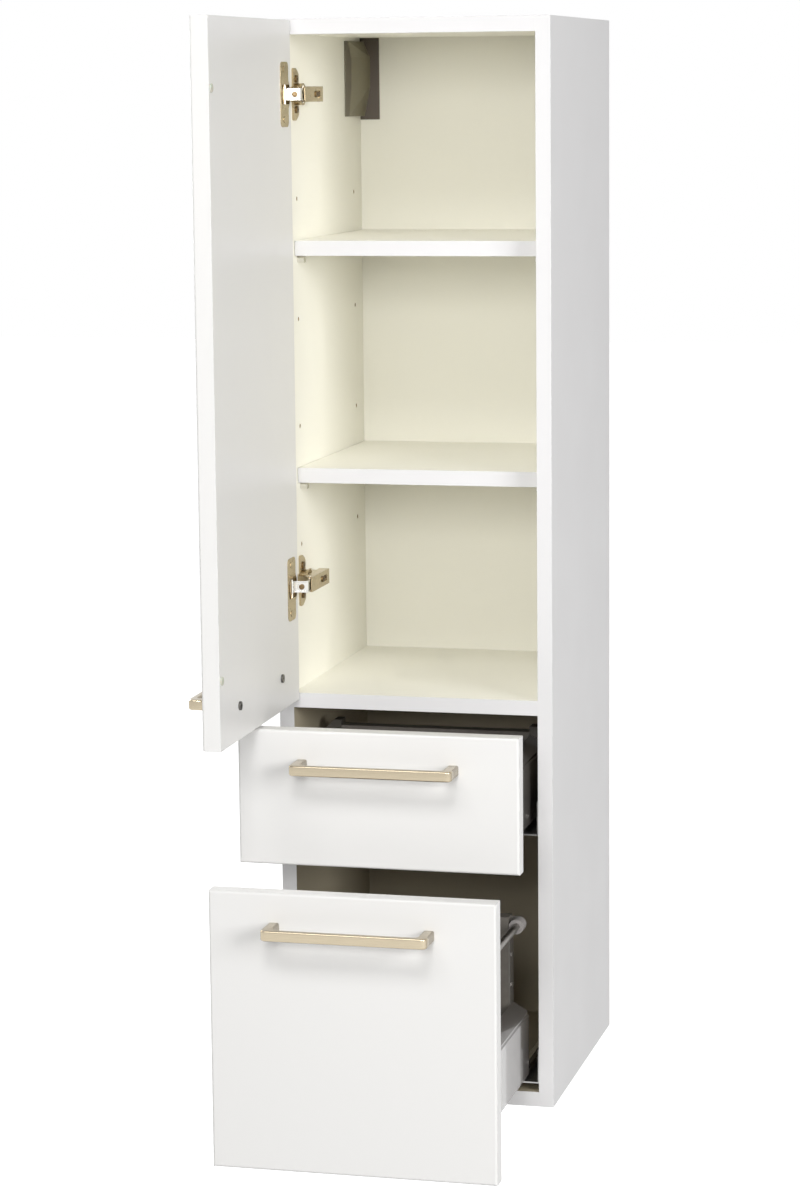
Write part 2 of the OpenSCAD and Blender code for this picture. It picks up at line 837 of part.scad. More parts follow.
// The arm: a channel of sheet over the block, whose side walls hold the pivot pin at the front
module hinge_arm(z) {
    x_web = arm_out - arm_t;
    wall_in = x_web - arm_wall_l;
    nose_r = hinge_pin_d / 2 + arm_nose_w;
    color(hinge_nickel)
        translate([-inner_x, y_front, z])
            difference() {
                union() {
                    block([x_web, arm_front, -arm_h / 2], [arm_out, arm_rear, arm_h / 2]);
                    for (i = [-1, 1])
                        translate([0, 0, i * (arm_h - arm_t) / 2 - arm_t / 2]) {
                            block([wall_in, plate_block_front, 0], [x_web + eps, arm_rear, arm_t]);
                            block([arm_pivot_out, arm_pivot_in - nose_r, 0],
                                [x_web + eps, plate_block_front, arm_t]);
                            block([wall_in, arm_pivot_in, 0], [x_web, plate_block_front + eps, arm_t]);
                            translate([arm_pivot_out, arm_pivot_in, 0])
                                cylinder(h = arm_t, r = nose_r);
                        }
                }
                translate([arm_pivot_out, arm_pivot_in, -arm_h])
                    cylinder(h = 2 * arm_h, r = hinge_pin_d / 2 + pin_gap, $fn = fine_fn);
                rod_x(x_web - over, arm_out + over, arm_screw_in, 0, cup_screw_r + pin_gap);
                block([x_web - over, arm_cam_in - arm_slot_l / 2, -arm_slot_h / 2],
                    [arm_out + over, arm_cam_in + arm_slot_l / 2, arm_slot_h / 2]);
            }
}

// A screw along X: a shank from x0, a head from x1 to x2 with a cross recess
module side_screw(x0, x1, x2, y, z, shank_r, head_r) {
    difference() {
        union() {
            rod_x(x0, x1 + eps, y, z, shank_r);
            rod_x(x1, x2, y, z, head_r);
        }
        cross_slot(x2, y, z);
    }
}

module hinge_screws() {
    cam_seat = arm_out - arm_t;
    color(bright_steel)
        translate([-inner_x, y_front, 0])
            for (z = hinge_zs) {
                for (i = [-1, 1])
                    side_screw(-plate_screw_l, plate_t, plate_t + plate_head_t, plate_line,
                        z + i * plate_screw_span / 2, plate_screw_d / 2, plate_head_d / 2);
                side_screw(arm_out - plate_screw_l + over, arm_out, arm_out + arm_screw_t, arm_screw_in, z,
                    cup_screw_r, arm_screw_d / 2);
                side_screw(arm_out - plate_screw_l + over, cam_seat, cam_seat + arm_screw_t, arm_cam_in, z,
                    cup_screw_r, arm_cam_r);
            }
}

// A cross recess cut into a head whose face is at x
module cross_slot(x, y, z) {
    w = arm_drive_w / 2;
    l = drive_l / 2;
    block([x - drive_t, y - w, z - l], [x + over, y + w, z + l]);
    block([x - drive_t, y - l, z - w], [x + over, y + l, z + w]);
}

// A straight stretch of strap between two points, with round ends
module strap(a, b, t) {
    d = b - a;
    l = norm(d);
    translate(a)
        rotate(atan2(d[1], d[0]))
            translate([0, -t / 2])
                square([l, t]);
    translate(b)
        circle(t / 2);
}

// Outline of a link seen from above, with straps of thickness t
module link_outline(t) {
    for (i = [0 : len(link_line) - 2])
        strap(link_line[i], link_line[i + 1], t);
    for (p = [link_line[0], link_line[len(link_line) - 1]])
        translate(p)
            circle(knuckle_r);
}

// The body of a link in the door's own frame: pressed thinner between two rims, with a rivet
module link_body() {
    linear_extrude(link_h)
        link_outline(link_web_t);
    for (h = [0, link_h - link_rim_h])
        translate([0, 0, h])
            linear_extrude(link_rim_h)
                link_outline(link_t);
    translate([rivet_place[0], rivet_place[1], link_h / 2])
        rotate([90, 0, atan2(rivet_step[1], rivet_step[0])])
            cylinder(h = link_t, r = link_rivet_r, center = true);
}

// A link at rest: the closed place turned about the arm's pivot
module hinge_link(z) {
    color(bright_steel)
        translate([arm_pivot[0], arm_pivot[1], z - link_h / 2])
            rotate(link_turn)
                difference() {
                    translate(closed_corner - arm_pivot)
                        link_body();
                    for (p = [[0, 0], closed_pivot - arm_pivot])
                        translate([p[0], p[1], -over])
                            cylinder(h = link_h + 2 * over, r = hinge_pin_d / 2 + pin_gap, $fn = fine_fn);
                }
}

module arm_pivot_pins() {
    color(bright_steel)
        for (z = hinge_zs)
            translate([arm_pivot[0], arm_pivot[1], z - arm_h / 2 - pin_seat])
                cylinder(h = arm_h + 2 * pin_seat, r = hinge_pin_d / 2, $fn = fine_fn);
}

// Door

// Moves a shape from the door's own frame to its place at rest.
// There x runs from the hinge edge, y = 0 is the inner face and the panel lies below it.
module at_door() {
    translate([door_corner[0], door_corner[1], 0])
        rotate(-door_turn)
            children();
}

module cup_pin(z, r) {
    translate([cup_pivot_u, -cup_pivot_v, z - cup_pin_half])
        cylinder(h = 2 * cup_pin_half, r = r, $fn = fine_fn);
}

module door_panel() {
    color(white_board)
        at_door()
            difference() {
                translate([0, 0, door_z])
                    front_board(front_w, door_h);
                for (z = hinge_zs) {
                    rod_y(-cup_depth - seat_gap, over, cup_edge, z, cup_d / 2 + fit_gap);
                    for (i = [-1, 1])
                        rod_y(-cup_depth, over, cup_edge + cup_offset, z + i * cup_screw_span / 2,
                            cup_screw_r + pin_gap);
                }
                translate([front_w / 2, 0, door_z + door_handle_rise])
                    handle_screw_holes();
            }
}

// A cup: a round pan with a mouth for the link, a flange on the door's inner face, and two screws
module hinge_cup(z) {
    color(hinge_nickel)
        at_door() {
            difference() {
                union() {
                    rod_y(-cup_depth, cup_wall, cup_edge, z, cup_d / 2);
                    translate([cup_edge + flange_offset, cup_wall, z])
                        rotate([90, 0, 0])
                            linear_extrude(cup_wall)
                                round_rect(cup_flange_w, cup_flange_l, cup_flange_r);
                }
                intersection() {
                    rod_y(cup_wall - cup_depth, over + cup_wall, cup_edge, z, cup_d / 2 - cup_wall);
                    block([0, -cup_depth, z - cup_mouth / 2],
                        [cup_edge + cup_d, cup_depth, z + cup_mouth / 2]);
                }
                cup_pin(z, hinge_pin_d / 2);
                for (i = [-1, 1])
                    rod_y(-over, over + cup_wall, cup_edge + cup_offset, z + i * cup_screw_span / 2,
                        cup_screw_r + pin_gap);
            }
            for (i = [-1, 1]) {
                rod_y(hole_tip - cup_depth, cup_wall + eps, cup_edge + cup_offset, z + i * cup_screw_span / 2,
                    cup_screw_r);
                rod_y(cup_wall, cup_wall + cup_head_t / 2, cup_edge + cup_offset, z + i * cup_screw_span / 2,
                    cup_head_r);
            }
        }
}

module cup_pivot_pins() {
    color(bright_steel)
        at_door()
            for (z = hinge_zs)
                cup_pin(z, hinge_pin_d / 2);
}

module door_handle() {
    color(nickel)
        at_door()
            translate([front_w / 2, -front_t, door_z + door_handle_rise])
                bar_handle();
}

module door_handle_screws() {
    color(bright_steel)
        at_door()
            translate([front_w / 2, 0, door_z + door_handle_rise])
                handle_screw_pair();
}

module door_bumpers() {
    u = front_w + reveal - board_t / 2;
    color(clear_rubber)
        at_door()
            for (z = [door_z + bumper_rise, door_z + door_h - bumper_drop])
                rod_y(0, bumper_t, u, z, bumper_d / 2);
}

// Drawers

// Outline of a drawer side, measured from the side panel and from its lower edge:
// up the outer wall, over the groove and the cap, down the inner wall to the foot, and back inside
module side_outline() {
    o = side_gap;
    i = side_gap + side_w;
    t = sheet_t;
    g = side_groove_d;
    top = side_h + cap_rise;
    gz = side_h - side_groove_h;
    polygon([
        [o, 0], [o + t, 0], [o + t, gz - 3 * t / 2], [o + g + t, gz - t / 2], [o + g + t, side_h - t / 2],
        [i - t, top - 2 * t], [i - t, foot_top - t], [i + foot_w, foot_top - t], [i + foot_w, foot_top],
        [i, foot_top], [i, top - t], [i - t, top], [o + t / 2, side_h], [o + g, side_h - t], [o + g, gz],
        [o, gz - t]
    ]);
    translate([o + t / 2, rail_top])
        square([side_w - t, t]);
}

module drawer_side(side, y, z) {
    color(silver_paint)
        on_side(side)
            translate([inner_x, 0, z])
                mirror([1, 0, 0])
                    along_y(y, y + runner_l)
                        side_outline();
}

// Outline of a running head on its web, centred on x = 0 with the web's foot at z0
module head_outline(z0, z1) {
    translate([-rail_t / 2, z0])
        square([rail_t, z1 - z0 + eps]);
    translate([-rail_head_w / 2, z1])
        square([rail_head_w, rail_head_t]);
}

// Outline of a channel with two lips that hold a running head, roof at z1
module channel_outline(z1) {
    z0 = z1 - rail_head_t - 2 * rail_gap - rail_t;
    slot = rail_t / 2 + rail_gap;
    difference() {
        translate([-rail_half, z0])
            square([2 * rail_half, z1 + rail_t - z0]);
        translate([rail_t - rail_half, z0 + rail_t])
            square([2 * (rail_half - rail_t), z1 - z0 - rail_t]);
        translate([-slot, z0 - over])
            square([2 * slot, rail_t + 2 * over]);
    }
}

// The cabinet rail: a leg on the side panel, a floor under the drawer side and a running head
module cabinet_rail(side, z) {
    color(zinc)
        on_side(side)
            difference() {
                translate([inner_x, 0, z])
                    mirror([1, 0, 0])
                        along_y(rail_y, rail_y + runner_l) {
                            translate([0, rail_floor])
                                square([rail_t, rail_leg_h]);
                            translate([0, rail_floor])
                                square([rail_mid + rail_t / 2, rail_t]);
                            translate([rail_mid, 0])
                                head_outline(rail_floor + rail_t - eps, head_1);
                        }
                for (y = rail_screw_places)
                    rod_x(inner_x - rail_t - over, inner_x + over, rail_y + y, z + rail_floor + rail_screw_z,
                        rail_screw_r + fit_gap);
            }
}

// The middle rail: a channel on the cabinet rail's head, with a head for the drawer rail
module middle_rails(y, z) {
    color(bright_steel)
        for (side = [-1, 1])
            on_side(side)
                translate([inner_x - rail_mid, 0, z])
                    along_y(y, y + runner_l) {
                        channel_outline(cavity_1);
                        head_outline(cavity_1 + rail_t - eps, head_2);
                    }
}

// The drawer rails: channels with wings that carry the drawer sides
module drawer_rails(y, z) {
    color(zinc)
        for (side = [-1, 1])
            on_side(side)
                translate([inner_x - rail_mid, 0, z])
                    along_y(y + runner_in, y + runner_l - runner_in) {
                        channel_outline(cavity_2);
                        translate([-rail_wing, cavity_2 + rail_t - eps])
                            square([2 * rail_wing, rail_t + eps]);
                    }
}

module rail_screws() {
    color(bright_steel)
        for (side = [-1, 1], z = [small_side_z, deep_side_z], y = rail_screw_places)
            on_side(side) {
                rod_x(inner_x - rail_t - eps, inner_x + rail_screw_l - hole_tip, rail_y + y,
                    z + rail_floor + rail_screw_z, rail_screw_r);
                rod_x(inner_x - rail_t - rail_screw_head_t, inner_x - rail_t, rail_y + y,
                    z + rail_floor + rail_screw_z, rail_screw_head_r);
            }
}

module drawer_front(y, z, h) {
    color(white_board)
        translate([0, y, z])
            difference() {
                translate([-front_w / 2, 0, 0])
                    front_board(front_w, h);
                translate([0, 0, h - handle_drop])
                    handle_screw_holes();
            }
}

module drawer_handle(y, z, h) {
    color(nickel)
        translate([0, y - front_t, z + h - handle_drop])
            bar_handle();
}

module drawer_handle_screws(y, z, h) {
    color(bright_steel)
        translate([0, y, z + h - handle_drop])
            handle_screw_pair();
}

module drawer_bottom(y, z) {
    color(grey_board)
        block([-board_half, y + seat_gap, z + foot_top], [board_half, y + runner_l, z + floor_top]);
}

module drawer_back(y, z, h) {
    color(grey_board)
        block([-board_half, y + runner_l - drawer_board_t, z + floor_top], [board_half, y + runner_l, z + h]);
}

// A tab that lies against the inner wall of a drawer side, inside its hollow
module hollow_tab(y0, y1, z) {
    x = inner_x - side_gap - side_w + sheet_t + seat_gap;
    block([x, y0, z + tab_z], [x + bracket_t, y1, z + tab_z + tab_h]);
}

module front_brackets(y, z) {
    x0 = inner_x - side_gap - side_w + sheet_t + seat_gap;
    x1 = inner_x - side_gap - sheet_t - seat_gap;
    color(zinc)
        for (side = [-1, 1])
            on_side(side) {
                block([x0, y, z + tab_z], [x1, y + bracket_t, z + tab_z + tab_h]);
                hollow_tab(y, y + front_tab_l, z);
            }
}

// A rear bracket: a plate behind the back board and the side, with a tab in the side's hollow
module rear_plate(y, z, h) {
    y0 = y + runner_l;
    block([board_half - rear_plate_w, y0, z + floor_top], [board_half, y0 + bracket_t, z + h]);
    block([board_half - eps, y0, z + floor_top],
        [inner_x - side_gap - sheet_t, y0 + bracket_t, z + side_h - side_groove_h]);
    hollow_tab(y0 - rear_tab_l, y0 + eps, z);
}

// A cap that closes the step between the back board and the end of a drawer side
module corner_cap(y, z) {
    o = side_gap;
    i = side_gap + side_w;
    top = side_h + cap_rise;
    translate([0, 0, z])
        along_y(y + runner_l - drawer_board_t, y + runner_l + bracket_t)
            translate([inner_x, 0])
                mirror([1, 0])
                    polygon([
                        [o, side_h + fit_gap], [o, side_h + cap_lift], [o + cap_flat, top + cap_lift],
                        [i, top + cap_lift], [i, top + seat_gap], [i - sheet_t, top + seat_gap]
                    ]);
}

module small_rear_brackets() {
    color(zinc)
        for (side = [-1, 1])
            on_side(side) {
                rear_plate(small_y, small_side_z, small_back_h);
                corner_cap(small_y, small_side_z);
            }
}

module deep_rear_brackets() {
    z = deep_side_z;
    y = deep_y + runner_l;
    x = board_half + fit_gap;
    color(zinc)
        for (side = [-1, 1])
            on_side(side) {
                rear_plate(deep_y, z, deep_back_h);
                block([x, y - drawer_board_t, z + side_h + cap_rise + seat_gap],
                    [x + bracket_t, y + bracket_t, z + railing_h - socket_d / 2 - seat_gap]);
                block([board_half - eps, y, z + side_h + cap_rise],
                    [x + eps, y + bracket_t, z + deep_back_h]);
                block([x, y, z + railing_h - socket_d / 2],
                    [railing_x, y + bracket_t, z + railing_h + socket_d / 2]);
                rod_y(y, y + bracket_t, railing_x, z + railing_h, socket_d / 2);
                for (s = back_screw_z)
                    rod_x(x + bracket_t - eps, x + bracket_t + back_screw_t, y - drawer_board_t / 2, z + s,
                        back_screw_r);
            }
}

// Railing of the deep drawer

module railing_rods() {
    color(silver_paint)
        for (side = [-1, 1])
            on_side(side)
                rod_y(deep_y + railing_seat, deep_y + runner_l - railing_seat, railing_x,
                    deep_side_z + railing_h, railing_d / 2);
}

module socket(y0, y1, d, open_rear) {
    difference() {
        rod_y(y0, y1, railing_x, deep_side_z + railing_h, d / 2);
        rod_y(open_rear ? y0 + railing_seat - fit_gap : y0 - over,
            open_rear ? y1 + over : y1 - railing_seat + fit_gap,
            railing_x, deep_side_z + railing_h, railing_d / 2 + pin_gap);
    }
}

module railing_sockets() {
    color(grey_plastic)
        for (side = [-1, 1])
            on_side(side) {
                socket(deep_y, deep_y + front_socket_l, railing_d + 2 * socket_wall, true);
                socket(deep_y + runner_l - socket_l, deep_y + runner_l, socket_d, false);
            }
}

side_panel(-1);  // left_side_panel
side_panel(1);  // right_side_panel
top_panel();
bottom_panel();
fixed_shelf();
back_panel();
shelf(upper_pin_h);  // upper_shelf
shelf(lower_pin_h);  // lower_shelf
shelf_pins();
panel_dowels();
cam_fittings();
hanger_body(-1);  // left_hanger_body
hanger_body(1);  // right_hanger_body
wall_hooks();
hanger_cover(-1);  // left_hanger_cover
hanger_cover(1);  // right_hanger_cover
hinge_plate(hinge_zs[0]);  // upper_hinge_plate
hinge_plate(hinge_zs[1]);  // lower_hinge_plate
hinge_arm(hinge_zs[0]);  // upper_hinge_arm
hinge_arm(hinge_zs[1]);  // lower_hinge_arm
hinge_screws();
cabinet_rail(-1, small_side_z);  // small_cabinet_rail_left
cabinet_rail(1, small_side_z);  // small_cabinet_rail_right
cabinet_rail(-1, deep_side_z);  // deep_cabinet_rail_left
cabinet_rail(1, deep_side_z);  // deep_cabinet_rail_right
rail_screws();
hinge_link(hinge_zs[0]);  // upper_hinge_link
hinge_link(hinge_zs[1]);  // lower_hinge_link
arm_pivot_pins();
door_panel();
door_handle();
door_handle_screws();
hinge_cup(hinge_zs[0]);  // upper_hinge_cup
hinge_cup(hinge_zs[1]);  // lower_hinge_cup
cup_pivot_pins();
door_bumpers();
drawer_front(small_y, small_z, small_front_h);  // small_drawer_front
drawer_handle(small_y, small_z, small_front_h);  // small_drawer_handle
drawer_handle_screws(small_y, small_z, small_front_h);  // small_handle_screws
drawer_side(-1, small_y, small_side_z);  // small_side_left
drawer_side(1, small_y, small_side_z);  // small_side_right
drawer_bottom(small_y, small_side_z);  // small_drawer_bottom
drawer_back(small_y, small_side_z, small_back_h);  // small_drawer_back
front_brackets(small_y, small_side_z);  // small_front_brackets
small_rear_brackets();
drawer_rails(small_y, small_side_z);  // small_drawer_rails
middle_rails(small_mid_y, small_side_z);  // small_middle_rails
drawer_front(deep_y, deep_z, deep_front_h);  // deep_drawer_front
drawer_handle(deep_y, deep_z, deep_front_h);  // deep_drawer_handle
drawer_handle_screws(deep_y, deep_z, deep_front_h);  // deep_handle_screws
drawer_side(-1, deep_y, deep_side_z);  // deep_side_left
drawer_side(1, deep_y, deep_side_z);  // deep_side_right
drawer_bottom(deep_y, deep_side_z);  // deep_drawer_bottom
drawer_back(deep_y, deep_side_z, deep_back_h);  // deep_drawer_back
front_brackets(deep_y, deep_side_z);  // deep_front_brackets
deep_rear_brackets();
drawer_rails(deep_y, deep_side_z);  // deep_drawer_rails
railing_rods();
railing_sockets();
middle_rails(deep_mid_y, deep_side_z);  // deep_middle_rails
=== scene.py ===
"""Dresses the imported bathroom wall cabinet: its finishes, small fittings, light and camera."""

import math

import bmesh
import bpy
from mathutils import Matrix, Vector


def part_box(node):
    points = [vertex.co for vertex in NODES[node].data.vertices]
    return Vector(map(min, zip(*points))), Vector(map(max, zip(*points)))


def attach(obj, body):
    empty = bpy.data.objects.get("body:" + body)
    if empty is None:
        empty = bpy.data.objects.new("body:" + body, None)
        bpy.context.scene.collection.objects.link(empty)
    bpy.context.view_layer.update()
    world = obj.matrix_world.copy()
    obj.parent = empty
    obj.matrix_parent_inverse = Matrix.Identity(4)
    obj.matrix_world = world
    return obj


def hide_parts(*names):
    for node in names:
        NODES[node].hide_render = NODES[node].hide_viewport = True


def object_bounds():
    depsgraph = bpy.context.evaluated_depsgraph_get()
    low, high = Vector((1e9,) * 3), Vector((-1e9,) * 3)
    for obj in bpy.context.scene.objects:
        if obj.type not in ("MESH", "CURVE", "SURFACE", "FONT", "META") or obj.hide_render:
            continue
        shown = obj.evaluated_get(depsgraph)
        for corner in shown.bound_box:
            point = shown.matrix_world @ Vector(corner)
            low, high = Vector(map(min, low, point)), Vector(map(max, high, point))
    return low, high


bl_info = {
    "name": "Bathroom wall cabinet",
    "version": (1, 0, 0),
    "blender": (4, 5, 0),
    "location": "3D View > Sidebar > Cabinet",
    "description": "Finishes, fittings, light and camera for a wall cabinet with a door and two drawers",
    "category": "Object",
}

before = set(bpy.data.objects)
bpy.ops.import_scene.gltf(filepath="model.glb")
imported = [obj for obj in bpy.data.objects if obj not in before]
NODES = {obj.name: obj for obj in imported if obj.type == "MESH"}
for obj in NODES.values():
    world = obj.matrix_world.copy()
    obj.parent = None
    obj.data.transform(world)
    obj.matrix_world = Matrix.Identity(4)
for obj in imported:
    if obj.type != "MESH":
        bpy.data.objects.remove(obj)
CAD_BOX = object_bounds()
MM = 0.001
CARCASS_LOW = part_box("left_side_panel")[0]
CARCASS_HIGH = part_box("right_side_panel")[1]
INNER_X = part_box("right_side_panel")[0][0]
# The fixed shelf's mid height parts the compartment from the drawer bays
BAY_TOP = (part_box("fixed_shelf")[0][2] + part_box("fixed_shelf")[1][2]) / 2
# The back panel's mid depth parts its two faces
BACK_Y = (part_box("back_panel")[0][1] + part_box("back_panel")[1][1]) / 2
# How deep a layer of colour reaches under a face
SKIN = 0.3 * MM
# Further than any point of the cabinet
FAR = 2.0
# The door's turn about z at rest, from closed
DOOR_TURN = math.radians(-89.4)
# The rivet heads on the links: place and turn seen from above, how far the link's face stands out,
# and the heads' own rise and dish
RIVET_PLACE = (-119.85 * MM, -342.62 * MM)
RIVET_TURN = math.radians(10.4)
RIVET_SEAT = 1.2 * MM
RIVET_RISE = 0.9 * MM
RIVET_DISH = 0.4 * MM
# Edges that fold by less than this are shaded smooth
SMOOTH_FOLD = math.radians(40)
# The floor's size, and how pale it looks: from this lift near the cabinet to white further off
FLOOR_SIZE = 30.0
FLOOR_NEAR = 1.3
FLOOR_FAR = 3.5
FLOOR_LIFT = 0.86
# The point that the lamps look at, and each lamp's name, place, size and power by its stage value
LIT_POINT = (0, -0.3, -0.5)
LAMPS = (
    ("key_light", (0.5, -4.2, 0.5), 0.8, "key_power"),
    ("high_light", (0.4, -3.0, 2.0), 0.9, "high_power"),
    ("left_light", (-0.92, -2.8, 1.9), 0.9, "left_power"),
    ("side_light", (3.2, -2.7, 0.3), 1.7, "side_power"),
    ("back_light", (-3.0, 1.6, 0.6), 2.2, "back_power"),
)


def hex_colour(code):
    """Turns an sRGB hex value into linear red, green and blue."""
    shares = [int(code[i : i + 2], 16) / 255 for i in (0, 2, 4)]
    return tuple(s / 12.92 if s <= 0.04045 else ((s + 0.055) / 1.055) ** 2.4 for s in shares)


def add_node(tree, kind, settings=None, inputs=None):
    """Adds a node with its settings, and fills its inputs with values or with other nodes' outputs."""
    node = tree.nodes.new(kind)
    for key, value in (settings or {}).items():
        setattr(node, key, value)
    for key, value in (inputs or {}).items():
        if isinstance(value, bpy.types.NodeSocket):
            tree.links.new(value, node.inputs[key])
        else:
            node.inputs[key].default_value = value
    return node


def new_material(name, colour, roughness, values=None):
    """Starts a material with a Principled shader, and returns it with its tree and shader."""
    material = bpy.data.materials.new(name)
    material.use_nodes = True
    material.diffuse_color = (*colour, 1)
    tree = material.node_tree
    tree.nodes.clear()
    own = {"Base Color": (*colour, 1), "Roughness": roughness, **(values or {})}
    shader = add_node(tree, "ShaderNodeBsdfPrincipled", inputs=own)
    add_node(tree, "ShaderNodeOutputMaterial", inputs={"Surface": shader.outputs["BSDF"]})
    return material, tree, shader


def grain(tree, size_mm, low=0.0, high=1.0, detail=2, stretch=(1, 1, 1)):
    """A noise in object space, from low to high, with grains size_mm across, drawn out by stretch."""
    place = add_node(tree, "ShaderNodeTexCoord")
    scale = [1 / (size_mm * MM * s) for s in stretch]
    mapping = add_node(
        tree, "ShaderNodeMapping", inputs={"Vector": place.outputs["Object"], "Scale": scale}
    )
    noise = add_node(
        tree,
        "ShaderNodeTexNoise",
        inputs={"Vector": mapping.outputs["Vector"], "Scale": 1.0, "Detail": detail},
    )
    ranged = add_node(
        tree,
        "ShaderNodeMapRange",
        inputs={
            "Value": noise.outputs["Fac"],
            "From Min": 0.3,
            "From Max": 0.7,
            "To Min": low,
            "To Max": high,
        },
    )
    return ranged.outputs["Result"]


def inside_box(tree, low, high):
    """1 in a box of object space between its lowest and highest corners, and 0 outside it."""
    place = add_node(tree, "ShaderNodeTexCoord")
    axes = add_node(tree, "ShaderNodeSeparateXYZ", inputs={"Vector": place.outputs["Object"]})
    mask = 1.0
    for axis, start, end in zip("XYZ", low, high):
        between = add_node(
            tree,
            "ShaderNodeMath",
            {"operation": "COMPARE"},
            {0: axes.outputs[axis], 1: (start + end) / 2, 2: (end - start) / 2},
        )
        within = add_node(
            tree, "ShaderNodeMath", {"operation": "MULTIPLY"}, {0: between.outputs[0], 1: mask}
        )
        mask = within.outputs[0]
    return mask


def colour_by(tree, shader, layers):
    """Lays colours over a surface's own, each where its mask is 1, the last on top."""
    under = shader.inputs["Base Color"].default_value[:]
    for mask, colour in layers:
        mixed = add_node(
            tree,
            "ShaderNodeMix",
            {"data_type": "RGBA"},
            {"Factor": mask, "A": under, "B": (*colour, 1)},
        )
        under = mixed.outputs["Result"]
    tree.links.new(under, shader.inputs["Base Color"])


def along_edges(tree, radius_mm, fold):
    """1 along edges that fold by twice that angle or more and 0 on flats, from a rounded normal's turn."""
    full = math.cos(fold)
    slack = 0.05 * (1 - full)
    surface = add_node(tree, "ShaderNodeNewGeometry")
    rounded = add_node(tree, "ShaderNodeBevel", {"samples": 4}, {"Radius": radius_mm * MM})
    same = add_node(
        tree,
        "ShaderNodeVectorMath",
        {"operation": "DOT_PRODUCT"},
        {0: surface.outputs["Normal"], 1: rounded.outputs["Normal"]},
    )
    ranged = add_node(
        tree,
        "ShaderNodeMapRange",
        inputs={"Value": same.outputs["Value"], "From Min": 1 - slack, "From Max": full},
    )
    return ranged.outputs["Result"]


def soft_edges(tree, shader, radius_mm, height=None, bump_mm=0.0):
    """Rounds the look of sharp edges, and adds a bump of that depth from a pattern."""
    edge = add_node(tree, "ShaderNodeBevel", {"samples": 4}, {"Radius": radius_mm * MM})
    normal = edge.outputs["Normal"]
    if height is not None:
        bump = add_node(
            tree,
            "ShaderNodeBump",
            inputs={"Height": height, "Distance": bump_mm * MM, "Strength": 1.0, "Normal": normal},
        )
        normal = bump.outputs["Normal"]
    tree.links.new(normal, shader.inputs["Normal"])


# Finishes


def foil_white(finishes):
    """White furniture foil pressed on board: a satin gloss over the faintest orange peel."""
    material, tree, shader = new_material(
        "white_furniture_foil",
        finishes.front_white,
        0.36,
        {"IOR": 1.5, "Specular IOR Level": 0.3},
    )
    tree.links.new(grain(tree, 60, 0.31, 0.38, detail=3), shader.inputs["Roughness"])
    soft_edges(tree, shader, 0.6, grain(tree, 2.4), 0.012)
    return material


def melamine_white(finishes):
    """White melamine on board: even and smooth, with a fine pearl that dulls its gloss.

    The faces that look into the cabinet are cream, darkened to beige behind the drawers as painted shade,
    and white behind the back panel, and its bores and grooves show brown chips.
    """
    material, tree, shader = new_material(
        "white_melamine_board",
        finishes.board_white,
        0.44,
        {"IOR": 1.5, "Specular IOR Level": 0.3},
    )
    core_low = [c + SKIN for c in CARCASS_LOW]
    core_high = [c - SKIN for c in CARCASS_HIGH]
    room_low = (-INNER_X - SKIN, core_low[1], core_low[2])
    room_high = (INNER_X + SKIN, core_high[1], core_high[2])
    core = inside_box(tree, core_low, core_high)
    room = inside_box(tree, room_low, room_high)
    # Painted shade: the drawer bays below the fixed shelf are coloured a darker beige
    bay = inside_box(tree, room_low, (*room_high[:2], BAY_TOP))
    behind = inside_box(tree, (room_low[0], BACK_Y, room_low[2]), (room_high[0], 0, room_high[2]))
    layers = [
        (core, finishes.chip_brown),
        (room, finishes.inside_cream),
        (bay, finishes.bay_shade_beige),
        (behind, finishes.board_white),
    ]
    colour_by(tree, shader, layers)
    tree.links.new(grain(tree, 80, 0.39, 0.46, detail=3), shader.inputs["Roughness"])
    soft_edges(tree, shader, 0.5, grain(tree, 1.2), 0.01)
    return material


def melamine_cream(finishes, name, front_y):
    """Cream-white melamine of the inside: a soft satin that hardly reflects.

    It is edged in white in front, and darkened to beige behind the drawers as painted shade.
    """
    material, tree, shader = new_material(name, finishes.inside_cream, 0.45, {"IOR": 1.5})
    band = inside_box(tree, (-FAR, front_y - SKIN, -FAR), (FAR, front_y + SKIN, FAR))
    # Painted shade: below the fixed shelf and in front of the back panel the boards are coloured a darker
    # beige
    bay = inside_box(tree, (-FAR, -FAR, -FAR), (FAR, BACK_Y, BAY_TOP))
    colour_by(tree, shader, [(bay, finishes.bay_shade_beige), (band, finishes.board_white)])
    tree.links.new(grain(tree, 80, 0.42, 0.5, detail=3), shader.inputs["Roughness"])
    soft_edges(tree, shader, 0.5, grain(tree, 1.2), 0.01)
    return material


def melamine_grey(finishes):
    """Mid-grey melamine of the drawer boxes, with a slight mottle."""
    material, tree, shader = new_material("grey_melamine_board", finishes.drawer_grey, 0.5)
    mottle = grain(tree, 6, detail=4)
    colour_by(tree, shader, [(mottle, [0.86 * c for c in finishes.drawer_grey])])
    soft_edges(tree, shader, 0.4, mottle, 0.01)
    return material


def nickel_brushed(finishes, name, stretch):
    """Brushed nickel plate: fine parallel lines that draw the highlights out across the bar.

    The lines of a real brush lie 0.05 mm apart; they are drawn 0.35 mm apart, so that they show.
    """
    material, tree, shader = new_material(name, finishes.handle_nickel, 0.2, {"Metallic": 1.0})
    lines = grain(tree, 0.35, detail=2, stretch=stretch)
    colour_by(tree, shader, [(lines, [0.93 * c for c in finishes.handle_nickel])])
    tree.links.new(grain(tree, 0.35, 0.15, 0.24, stretch=stretch), shader.inputs["Roughness"])
    soft_edges(tree, shader, 0.2, lines, 0.002)
    return material


